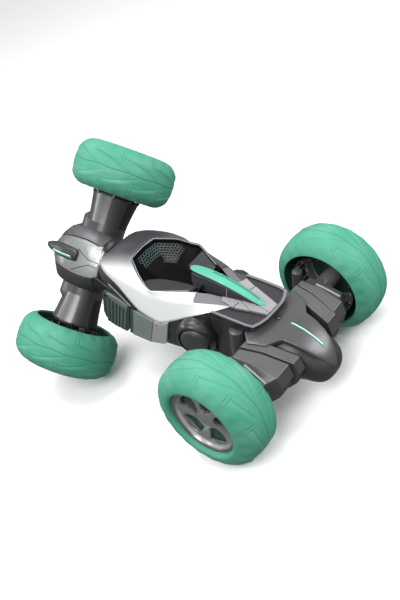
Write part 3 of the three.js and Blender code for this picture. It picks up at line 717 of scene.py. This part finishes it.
def make_lip():
    rings = [[(x, y0, z0), (x + 0.3, (y0 + y1 + 0.8) / 2, (z0 + z1) / 2), (x, y1, z1),
              (x - 1, y1 - 1.8, z1 + 0.2), (x - 1, y0 - 1.8, z0)] for x, y0, z0, y1, z1 in LIP]
    path = [(163, 39.8, 24.4), (156, 41.2, 22.6), (149, 42.2, 19.6), (143, 42.6, 15.6), (136, 42.8, 10.6)]
    for side, sign in SIDES:
        lip, blade = sided(lofted(rings), sign), sided(ribbon(path, 0.9, 2.6), sign)
        on_car(f"shell_lip_{side}", lip, "graphite", bevel=0.4, angle=40)
        on_car(f"shell_lip_{side}_blade", blade, "lip", bevel=0.3)


# ---- cockpit

# Its outline at the rim and at the floor, from the front round the left to the rear
COCKPIT = [(150, 0, 47.2), *[(x, *rim) for x, _, rim, *_ in SHELL_LINES if 70 <= x <= 150], (69.5, 0, 40.5)]
WELL = [(131, 0, 24), (131, 8, 24), (127, 11, 23.5), (120, 14.5, 22.5), (115, 16.5, 20), (109, 17.5, 18.5),
        (104, 17, 18), (97, 15, 18), (90, 12, 18), (82, 10, 18), (78, 8, 18), (77, 0, 18)]
# The shelf in it, as its outer and its inner edge
SHELF = [((123, 31.4, 38), (125.6, 22.4, 32.6)), ((117, 33.6, 36.6), (119.5, 17.6, 32)),
         ((111, 35.2, 35.8), (113.5, 14.4, 32)), ((103, 31.8, 36), (105, 11.8, 32)),
         ((88, 24.6, 36.6), (90, 9.2, 32.6)), ((77, 19.2, 37), (77.5, 9.4, 34))]
CELL_STEP = 3.5
CELL_SLOPE = 24.0  # the slope's length, from rim to floor
CELL_EDGE = (3.4, 3.4)  # how far inside and below the rim the slope starts


def towards(a, b, share):
    return tuple(p + (q - p) * share for p, q in zip(a, b))


def inset(a, b, distance, drop):
    """a moved level towards b by a distance, and lowered."""
    level = Vector((b[0] - a[0], b[1] - a[1], 0)).normalized() * distance
    return a[0] + level.x, a[1] + level.y, a[2] - drop


def make_cockpit():
    rim, well = closed_outline(COCKPIT), closed_outline(WELL)
    pairs = list(zip(rim, well))
    steps = ((-0.3, 0.3), (2.7, 0.6), CELL_EDGE)
    bowl = lofted([[inset(p, q, *step) for p, q in pairs] for step in steps] + [well], caps=False)
    bowl[1].append(tuple(len(rim) * len(steps) + i for i in range(len(rim))))
    on_car("cockpit_well", bowl, "canopy", "canopy_black", ("canopy_bowl",), bevel=0.5, angle=18)
    steps = ((1, 0.9), (1, -0.1), (1.9, -0.1), (2, 0.9))
    chain = [pair for pair in pairs[len(COCKPIT):] + pairs[:len(COCKPIT)] if pair[0][0] > 76]
    bezel = lofted([[inset(p, q, *step) for step in steps] for p, q in chain])
    on_car("cockpit_bezel", bezel, "trim", "trim_grey", ("canopy_frame",), bevel=0.25, angle=25)
    # The right shelf is black where the left one is dark grey: the right one's darker colour is painted
    # shade.
    for side, sign, kept, kind in (("left", 1, SHELF, "canopy_wall"), ("right", -1, SHELF[3:], "black")):
        shelf = sided(sheet([list(row) for row in kept], 0.8), sign)
        on_car(f"cockpit_shelf_{side}", shelf, kind, "canopy_black")
    make_honeycomb(rim, well)


def make_honeycomb(rim, well):
    """Raised cells on the cockpit's front and right-hand slopes."""
    chain = [i for i, p in enumerate(rim) if (p[1] < -1 and p[0] > 110) or (p[0] > 149 and p[1] < 18)]
    chain.sort(key=lambda i: (-rim[i][0], -rim[i][1]))
    slope = [(inset(rim[i], well[i], *CELL_EDGE), well[i]) for i in chain]
    top, low = ([Vector(towards(*ends, share)) for ends in slope] for share in (0.06, 0.93))
    reach = [0.0]
    for a, b in zip(top, top[1:]):
        reach.append(reach[-1] + (a - b).length)

    def on_slope(u, w):
        """The point u millimetres along the slope's top and a share w of the way down, and its normal."""
        k = max(i for i in range(len(reach) - 1) if reach[i] <= u)
        t = (u - reach[k]) / (reach[k + 1] - reach[k])
        high, deep = top[k].lerp(top[k + 1], t), low[k].lerp(low[k + 1], t)
        out = (top[k + 1] - top[k]).cross(deep - high).normalized()
        return high.lerp(deep, w), -out if out.z < 0 else out

    walls, floors = [], []
    for row in range(7):
        w = (row + 0.5) * CELL_STEP * 0.866 / CELL_SLOPE
        for column in range(int(reach[-1] / CELL_STEP)):
            u = (column + 0.5 + 0.5 * (row % 2)) * CELL_STEP
            if u < 2 or u > 58 - 10 * w or w > (0.5 if u < 32 else 0.85):
                continue
            middle, out = on_slope(u, w)
            along = (on_slope(min(u + 0.5, reach[-1] - 0.01), w)[0] - middle).normalized()
            down = out.cross(along)
            rings = []
            for radius, lift in ((2.02, 0.2), (1.99, 0.8), (1.5, 0.8), (1.46, 0.4)):
                turns = [radians(60 * k + 30) for k in range(6)]
                rings.append([middle + along * radius * cos(a) + down * radius * sin(a) + out * lift
                              for a in turns])
            walls.append(lofted(rings, caps=False))
            floors.append((rings[-1], [tuple(range(6))]))
    on_car("cockpit_honeycomb", join(*walls), ["cell_green", "cell"], "canopy_black",
           paint=lambda n: 0 if abs(n.x) > abs(n.y) else 1)
    on_car("cockpit_cell_floors", join(*floors), "canopy", "canopy_black")


# ---- spine, fin and tail deck

def make_spine():
    rings = []
    for x, base, top, low, high in (
            (86, 7, 5.5, 36, 44.6), (78, 12, 6.6, 34, 45.2), (66, 10.6, 6.4, 33.4, 45.4),
            (46, 8.4, 6, 32.6, 43.4), (30, 5.6, 4.6, 32.4, 39.4), (14, 3.4, 2.6, 32.2, 34.9)):
        rings.append([(x, -base, low), (x, -top, high), (x, top, high), (x, base, low)])
    on_car("spine_walls", lofted(rings), "graphite", "trim_black", ("spine_base",), bevel=0.5)
    seams = [ribbon([(45.5, s * 8.6, 32.6), (45.8, s * 6.5, 42.6)], 0.5, 0.5, (1, 0, 0)) for s in (1, -1)]
    on_car("spine_seams", join(*seams), "panel_pale")
    top = [(90.5, 0, 46.6), (89.6, 2.2, 46.9), (86, 3.9, 47.4), (78, 5, 47.8), (66, 5.3, 47.8),
           (50, 5.2, 46.2), (36, 4.8, 43.4), (24, 4.1, 40), (14, 3.1, 36.6), (10.6, 1.6, 35.4), (10, 0, 35.2)]
    rings = [[(x, -y, z - 2.4), (x, -y, z - 0.5), (x, -y * 0.72, z), (x, 0, z + 0.25), (x, y * 0.72, z),
              (x, y, z - 0.5), (x, y, z - 2.4)] for x, y, z in top]
    on_car("fin_blade", lofted(rings), "fin", "fin_mint", ("spine_fin",), subdivide=2,
           creases=lambda a, b, edge: 0.6 if abs(a.z - b.z) > 1.4 and abs(a.x - b.x) < 0.1 else 0.25)
    # The fin's groove is a darker mint ribbon lying on the blade: painted shade.
    groove = [(66, -2.6, 48), (50, -2.8, 46.5), (36, -2.6, 43.7), (24, -2.2, 40.3), (17, -1.6, 38)]
    on_car("fin_groove", ribbon(groove, 1.7, 0.5), "fin_groove", "fin_mint", bevel=0.2)


TAIL_PANELS = {
    "left": [[(49, 9.5), (47, 13.5), (33.5, 16), (32.5, 9), (38, 6.8)],
             [(32.4, 15.8), (19.5, 12.4), (18, 11.8), (31.8, 5.6), (38, 6.9), (31.6, 9)],
             [(17.6, 11.6), (2.4, 8.2), (2, 5.5), (26, 2), (31.4, 5.4)]],
    "right": [[(2, 5), (1.8, -6.6), (12, -10), (31, -16), (33, -5), (26, 1.4)],
              [(32, -16.2), (44, -20.4), (48, -10), (34, -5.2)]],
}


def make_tail():
    full = closed_outline([(48.5, 28.3, 31.2), (44, 28.6, 31.9), (30, 28.6, 32.4), (12, 28.2, 32.6),
                           (4.5, 26.6, 32.4), (1.2, 20, 32.6), (-0.8, 12, 32.8), (-1.2, 0, 33)])
    rings = []
    for x, y, z in full:
        inward, share = (1.2, 0.915) if abs(y) > 26.8 else (2.6, 0.93)
        a, b, c = x + inward, y * share, z - 0.2
        rings.append([(x, y, z), (x, y, z + 1.2), (a, b, c + 1.2), (a, b, c)])
    on_car("tail_edge", lofted(rings), "graphite_pale", bevel=0.35)
    plate = closed_outline([(50, 26.4, 30.9), (30, 27, 31.8), (10, 26, 31.9), (4, 22, 31.9), (1.5, 12, 32),
                            (0.8, 0, 32.2)])
    floor = lofted([[(x, y, z - drop) for x, y, z in plate] for drop in (1.5, 0)])
    on_car("tail_floor", floor, "graphite", "trim_black", bevel=0.2)
    for side, outlines in TAIL_PANELS.items():
        tops = [[(x, y, 34.6 + 0.02 * x) for x, y in outline] for outline in outlines]
        panels = [lofted([[(x, y, z - 2.6) for x, y, z in top], top]) for top in tops]
        on_car(f"tail_panels_{side}", join(*panels), "deck", "trim_grey", (f"tail_deck_{side}",), bevel=0.3)
    wall = [(54, 28, 27.4, -18), (46, 28.2, 30.6, -17.6), (30, 28.6, 31.6, -17), (12, 27.6, 31.8, -12),
            (6, 25, 31.8, -8)]
    wall = [[(x, y, top), (x, y - 2, top), (x, y - 4, low), (x, y - 2, low)] for x, y, top, low in wall]
    for side, sign in SIDES:
        on_car(f"tail_wall_{side}", sided(lofted(wall), sign), "black", "trim_black", bevel=0.3)


# ---- sides: grille boxes, panels and round caps

def side_y(x):
    return float(np.interp(x, [56, 77, 92, 110, 140, 170, 180], [33, 37, 40.2, 42.2, 42, 41.6, 40.0]))


def side_plate(outline, thickness, lift):
    """A plate following the car's left flank, from an (x, z) outline."""
    return lofted([[(x, side_y(x) + rise, z) for x, z in outline] for rise in (lift, lift - thickness)])


# (x, z) outline, thickness, lift, material and bevel
GRILLE_PLATES = {
    "grille_{}_frame": (
        [(139, 8.5), (151, 12.5), (163, 14.8), (170.5, 14.6), (173.4, 11), (177, 0), (181.6, -19),
         (180.6, -25.6), (176.4, -30.2), (168, -31.6), (151.5, -31.6), (148.5, -27)],
        5, 0.2, "vent", 0.8),
    "grille_{}_recess": (
        [(140, 10.5), (153, 15), (163, 19), (180, 23), (184, 23), (184, 12), (172, 12), (151, 10)],
        2, -0.6, "black", 0),
    "grille_{}_hood": (
        [(140, 8.8), (151, 12.6), (163, 14.4), (167.4, 13.6), (164.5, 8.6), (152, 5.6), (142, 3.4)],
        3, 1.5, "hood", 0.7),
}
PANELS = {
    "panel_{}_step": (
        [(139, 5), (134.6, 3), (143.4, -31.2), (148.2, -31.4)], 3, -0.4, "vent", 0.3),
    "panel_{}_front": (
        [(134.2, 5.6), (110.6, 2.6), (119.8, -29.4), (143, -31)], 2.4, 0.6, "panel", 0.4),
    "panel_{}_rear": (
        [(110.2, 2.6), (103, 1.6), (93, 7.4), (100, -22), (104, -24.4), (119.4, -29.4)],
        2.4, 0.4, "panel_pale", 0.4),
    "panel_{}_well": (
        [(93, 7), (80, 14), (70, 20), (58, 25.5), (50, 28), (48, -17), (77, -20.4), (99, -22.4)],
        2.4, -3.2, "black", 0.4),
}
BOSS_X = 167.6


def make_plates(table, side, sign):
    for name, (outline, thickness, lift, material, bevel) in table.items():
        slot = "trim_black" if material == "black" else "trim_grey"
        replaced = (f"vent_{side}",) if name == "grille_{}_frame" else ()
        plate = sided(side_plate(outline, thickness, lift), sign)
        on_car(name.format(side), plate, material, slot, replaced, bevel=bevel)


def make_flank(side, sign):
    make_plates(GRILLE_PLATES, side, sign)
    slats = []
    for k in range(6):
        x, top = 142.6 + 4.4 * k, 2.6 + 0.8 * k
        outline = [(x, top), (x + 3.1, top + 0.6), (x + 12.7, -28.8), (x + 9.6, -28.8)]
        slats.append(sided(side_plate(outline, 2.5, 1.4), sign))
    on_car(f"grille_{side}_slats", join(*slats), "vent_slat", bevel=0.5)
    boss = turned([(0, 0), (2.6, 0), (2.6, 1.8), (2.1, 2.2), (1.4, 2.2), (1.2, 1.2), (0, 1.2)], 32)
    boss = sided(moved(boss, (BOSS_X, side_y(BOSS_X) - 0.2, 11)), sign)
    on_car(f"grille_{side}_boss", boss, "graphite")
    make_plates(PANELS, side, sign)
    ring = [(19.6, -6), (19.6, 1.2), (18.9, 2.6), (17.6, 4.4), (17.2, 5.6), (16.2, 6.4), (15.2, 6.4),
            (14.6, 5.4), (14.4, 1), (14.4, -6)]
    cap = [(0, -4), (13.9, -4), (13.9, 5), (13.5, 6.2), (12.2, 7.6), (11.4, 8), (10.9, 7.8), (10.6, 8.1),
           (8, 8.5), (0, 8.7)]
    for name, profile, kind in (("ring", ring, "black"), ("cap", cap, "cap")):
        placed = moved(turned(profile, 80, ring=name == "ring"), (63, 37.2, 1.2), turn_about("Z", 17))
        on_car(f"turbine_{side}_{name}", sided(placed, sign), kind, "trim_black", (f"turbine_{name}_{side}",))


# ---- rear housing and legs

def make_rear():
    rings = [soft_ring(*section, 20, (0.75, 0.8)) for section in (
        (29, 20, 20, 22, 2), (20, 24, 22.5, 24, 1), (8, 29, 23.5, 25, 0), (-16, 29.4, 23.5, 25, 0),
        (-30, 26.5, 21.5, 24, 0), (-39, 22, 17.5, 22, -1), (-47, 21, 14, 19, -3),
        (-54, 18.5, 10.5, 14.5, -5), (-58.6, 13, 6.5, 9, -7), (-60, 5, 2.5, 3.5, -7.5))]
    on_car("rear_hub", lofted(rings), "graphite", "plastic_graphite", ("rear_housing",), subdivide=1)
    rings = []
    for x, w, z in (
            (28, 20, 24.2), (15.5, 25.5, 24.8), (11, 31, 25), (4.5, 37.6, 25), (-3, 34.6, 25),
            (-11, 32, 24.9), (-15, 25.4, 24.9), (-19.5, 19.2, 24.6), (-29, 17.6, 22.8), (-40, 15.2, 18.4),
            (-47, 12.4, 13.6), (-52.5, 9, 8.4), (-57, 5, 2.6), (-59.4, 1.2, -2)):
        crown = 1.0 if x < 10 else 0.6
        rings.append(closed_outline([(x, 0, z + crown), (x, w * 0.55, z + crown * 0.7), (x, w * 0.9, z),
                                     (x, w, z - 0.7), (x, w, z - 4.5), (x, 0, z - 4.5)]))
    on_car("rear_cover_plate", lofted(rings), "cover", "plastic_graphite", ("rear_cover",), bevel=0.5,
           angle=34)
    bed = [(-15.4, 0, 25.6), (-20, 0, 25.3), (-29, 0, 23.7), (-40, 0, 19.3), (-46, 0, 15.3), (-48, 0, 14)]
    on_car("rear_light_bed", ribbon(bed, 1.9, 0.9), "light_bed", "plastic_graphite", bevel=0.2)
    tube = [(-16.4, -0.2, 26), (-20, -0.2, 25.8), (-29, -0.2, 24.2), (-40, -0.2, 19.8), (-46.6, -0.2, 15.4)]
    on_car("rear_light_tube", ribbon(tube, 0.75, 0.8), "light", "light_strip", ("rear_light",), bevel=0.2)
    screw = turned([(0, 0), (1.9, 0), (1.9, 0.6), (1.5, 0.95), (0.9, 1), (0.7, 0.4), (0, 0.4)], 32)
    screw = moved(screw, (-3, 0, 25.9), turn_about("X", 90))
    on_car("rear_screw", screw, "screw", "steel", ("rear_cover_screw",))
    well = turned([(0, 0), (2.9, 0), (2.9, 0.5), (2.2, 0.5), (2.1, 0.1), (0, 0.1)], 32)
    on_car("rear_screw_well", moved(well, (-3, 0, 25.6), turn_about("X", 90)), "black", "plastic_graphite")


LEG_SECTION = [(20, -3), (14, 14), (8, 24.4), (-12, 24.8), (-36, 18.4), (-40.6, 5), (-37.5, -8), (-30, -18),
               (-11, -26), (14, -25)]
LEG_SPLIT = {"left": 36.4, "right": 40.0}


def leg_ring(middle, wide, tall, skew=0.24):
    """The leg's section at y = middle, leaning outboard towards the front."""
    return [(x * wide if x < 0 else x * (0.5 + wide / 2), middle + skew * (min(x, 6) + 20), z * tall)
            for x, z in LEG_SECTION]


# Painted light: faces that look up take a lighter plastic, faces that look down a darker one.
def painted_light_by_slope(normal):
    if normal.z > 0.9:
        return 0
    return 1 if normal.z > -0.2 else 2


def make_rear_leg(side, sign):
    def add(part, shape, material, slot="plastic_graphite", **looks):
        on_car(f"rear_leg_{side}_{part}", sided(shape, sign), material, slot, **looks)

    split = LEG_SPLIT[side]
    # The collar and block are lighter on top and darker underneath, as painted light and shade.
    shades = {"material": ["leg_top", "leg", "leg_low_painted_shade"], "bevel": 0.5, "paint": painted_light_by_slope}
    collar = lofted([leg_ring(26.5, 1.06, 0.92), leg_ring(split, 1.06, 0.92)])
    add("collar", collar, replaces=(f"rear_leg_{side}",), **shades)
    # The groove ring is black as painted shade in the slot between collar and block.
    add("groove", lofted([leg_ring(split + y, 0.93, 0.83) for y in (-0.4, 2.5)]), "black")
    block = lofted([leg_ring(split + 1.7, 0.97, 0.89), leg_ring(53.2, 0.97, 0.89, 0.05),
                    leg_ring(59.5, 0.8, 0.7, 0), leg_ring(66.5, 0.76, 0.66, 0)])
    add("block", block, **shades)
    edge = ribbon([(-5.5, 56.9, 20.4), (-17, 58.5, 16.9), (-28.6, 60, 12.7)], 1.9, 2.4)
    add("trim", edge, "panel_pale", "trim_grey", bevel=0.3)
    posts = []
    for x, y, low, high, r in ((22.5, 28, -8, 23.4, 7), (18.5, 63.5, 2, 21.5, 5.2)):
        post = [(0, low), (r, low), (r, high - 1.6), (r - 0.5, high - 0.5), (r - 1.6, high), (0, high)]
        posts.append(moved(turned(post, 40), (x, y, 0), turn_about("X", 90)))
    add("posts", join(*posts), "leg")


# ---- front end, in its own twisted frame

NOSE_X = (-30, -24, -12, 4, 18, 31, 40, 46)
NOSE_HALF_WIDTH = (20, 29, 36, 37.4, 36.4, 30.5, 22.5, 12)
NOSE_HEIGHT = (19, 24, 27.5, 28.6, 28.2, 24.5, 18.5, 10)
NOSE_ROUND = 2.4
BAND = (0.7, 12.5)  # the side bands' edges, past the nose cover's


def nose_z(x, y):
    """The height of the front housing's skin."""
    share = min(abs(y) / float(np.interp(x, NOSE_X, NOSE_HALF_WIDTH)), 0.999)
    return float(np.interp(x, NOSE_X, NOSE_HEIGHT)) * (1 - share ** NOSE_ROUND) ** (1 / NOSE_ROUND)


def nose_edge(x):
    return float(np.interp(x, [-26, -20, -6, 10, 24, 34, 42], [12.5, 16.5, 18, 17.4, 15.5, 11.5, 5.0]))


def nose_strip(low_y, high_y, x0, x1, lift):
    """A strip lying on the nose between two lines y(x)."""
    rows = []
    for i in range(13):
        x = x0 + (x1 - x0) * i / 12
        lo, hi = low_y(x), high_y(x)
        ys = [lo + (hi - lo) * j / 7 for j in range(8)]
        rows.append([(x, y, nose_z(x, y) + lift) for y in ys])
    return sheet(rows, 2.2)


def nose_patch(a, b, c, d, lift):
    """A plate lying on the nose between four (x, y) corners."""
    rows = []
    for i in range(9):
        start, end = Vector(a).lerp(Vector(d), i / 8), Vector(b).lerp(Vector(c), i / 8)
        row = [start.lerp(end, j / 8) for j in range(9)]
        rows.append([(p.x, p.y, nose_z(p.x, p.y) + lift) for p in row])
    return sheet(rows, 1.6)


def make_front():
    rings = [soft_ring(x, w * 0.985, h * 0.965, h * 0.965, 0, 24, (0.82, 0.82)) for x, w, h in (
        (-30, 20, 19), (-24, 29, 24), (-12, 36, 27.5), (4, 37.4, 28.6), (18, 36.4, 28.2), (31, 30.5, 24.5),
        (40, 22.5, 18.5), (45.5, 13.5, 11.5), (48, 5, 4.5))]
    on_front("front_hub", lofted(rings), "graphite", "plastic_graphite", ("front_housing",), subdivide=1)
    cover = nose_strip(lambda x: -nose_edge(x), nose_edge, -26, 41, 1.2)
    on_front("nose_cover", cover, "nose", "shell_silver", ("front_nose_cover",), bevel=0.6)
    for side, sign, kind in (("right", -1, "band"), ("left", 1, "graphite")):
        band = nose_strip(lambda x: nose_edge(x) + BAND[0], lambda x: nose_edge(x) + BAND[1], -22, 28, 0.9)
        on_front(f"nose_band_{side}", sided(band, sign), kind, "trim_grey", bevel=0.5)
    # The nose facet and the sliver beside it take the brighter metal as a painted highlight.
    facet = nose_patch((-7, -12.8), (-22.6, -17.6), (-25.6, -3), (-16, -1.6), 1.45)
    on_front("nose_facet", facet, "rim_lip", "shell_silver")
    sliver = nose_patch((-16.5, 0.6), (-25.4, 0.6), (-25.4, 4), (-17.5, 2.6), 1.4)
    on_front("nose_sliver", sliver, "rim_lip", "shell_silver")
    lines = ([(1, -7.4), (-7, -3.6), (-14.5, -0.6), (-25, -0.4)],
             [(3, 15), (-8, 8.6), (-16, 4.2), (-25, 4.8)])
    seams = [ribbon([(x, y, nose_z(x, y) + 1.25) for x, y in line], 0.6, 0.6) for line in lines]
    on_front("nose_seams", join(*seams), "black", "trim_black")
    horn = []
    for x, w, z, h in (
            (-1.5, 5.4, 27.5, 5.2), (0.5, 6.6, 28, 5.2), (8, 7.2, 28.4, 4.8), (20, 7.2, 28.3, 4.8),
            (31, 6.4, 26.4, 4.6), (39, 5, 24.9, 4), (43.6, 3.4, 24.4, 3), (46.2, 1.4, 24.2, 1.6)):
        horn.append([(x, -w, z), (x, -w * 0.86, z + h * 0.72), (x, -w * 0.42, z + h), (x, w * 0.3, z + h),
                     (x, w * 0.8, z + h * 0.66), (x, w, z), (x, w * 0.8, z - 3), (x, -w * 0.8, z - 3)])
    on_front("nose_horn", lofted(horn), "graphite", "trim_black", ("front_horn",), subdivide=2,
             creases=lambda a, b, edge: 0.45 if abs(a.x - b.x) > 1 else 0)
    tube = ribbon([(5, 2.6, 33), (18, 2.8, 33), (31, 2.6, 30.8)], 0.7, 0.9)
    on_front("nose_light", tube, "light", "light_strip", ("front_light",), bevel=0.2)
    bed = ribbon([(3.6, 3.3, 32.1), (18, 3.4, 32.1), (32.4, 3.2, 29.8)], 2.4, 1)
    on_front("nose_light_bed", bed, "light_bed", "trim_black", bevel=0.2)


def many_sided(profile):
    """An eight-sided tube with soft corners, from (radius, y, swell towards the front) rings."""
    rings = []
    for r, y, swell in profile:
        ring = []
        for deg in range(-149, 211, 15):
            a = radians(deg)
            flat = radians((deg - 8.5) % 45 - 22.5)
            reach = r * (1 + 0.55 * (cos(radians(22.5)) / cos(flat) - 1))
            reach += swell * max(cos(a + 0.3), 0) ** 0.5
            ring.append((reach * cos(a), y, reach * sin(a)))
        rings.append(ring)
    return lofted(rings)


# Painted light: the upper facets take a lighter plastic, the rear and lower facets a darker one.
def painted_light_by_facet(normal):
    turn = degrees(atan2(normal.z, normal.x))
    return 1 if 74 < turn < 123 else 2 if 166 < turn or turn < -100 else 0


def make_front_leg(side, sign):
    def add(part, shape, material, **looks):
        on_front(f"front_leg_{side}_{part}", sided(shape, sign), material, "plastic_graphite", **looks)

    leg = [(20.4, 28, 0), (20.8, 38, 0), (21.4, 46, 0), (23, 57, 0), (24.6, 66.6, 0), (23.6, 68.6, 0)]
    # The tube's facets carry painted light and shade.
    add("tube", many_sided(leg), ["front_leg", "front_leg_light", "leg_low_painted_shade"],
        replaces=(f"front_leg_{side}",), paint=painted_light_by_facet)
    add("axle", turned([(6.2, 60), (6.2, 74.5), (2.5, 74.5)], 48), "black")
    collar = [(20.8, 24, 5.6), (20.8, 38, 6.4), (20.8, 41.5, 6.4), (20.8, 45.5, 1.6), (19, 46, 0)]
    add("collar", many_sided(collar), "front_leg")
    tab = box(21.6, 24.6, 66, 69.6, -1.3, 1.3)
    add("tabs", join(*[moved(tab, turn=turn_about("Y", 45 * k + 12)) for k in range(8)]), "black", bevel=0.3)


# ---- finishes for the CAD nodes that stay

# Part of the node's name: its material
KEPT = {
    "_pin": "steel", "_motor": "steel", "_axle": "steel", "_shaft": "steel", "_gear": "nylon",
    "_bush": "nylon", "chassis_pan": "graphite", "battery_door": "graphite", "power_switch": "black",
    "battery_pack": "battery", "circuit_board": "board",
}


def finish_kept_nodes():
    for name, part in frame["nodes"].items():
        key = next((KEPT[fragment] for fragment in KEPT if fragment in name), None)
        if key:
            part.data.materials.clear()
            part.data.materials.append(MATERIALS[key])


# ---- everything

set_camera()
set_stage()
for end in ("rear", "front"):
    for side, _ in SIDES:
        make_tyre(end, side)
        make_rim(end, side)
make_shell()
make_lip()
make_cockpit()
make_spine()
make_tail()
make_rear()
make_front()
for side, sign in SIDES:
    make_flank(side, sign)
    make_rear_leg(side, sign)
    make_front_leg(side, sign)
finish_kept_nodes()
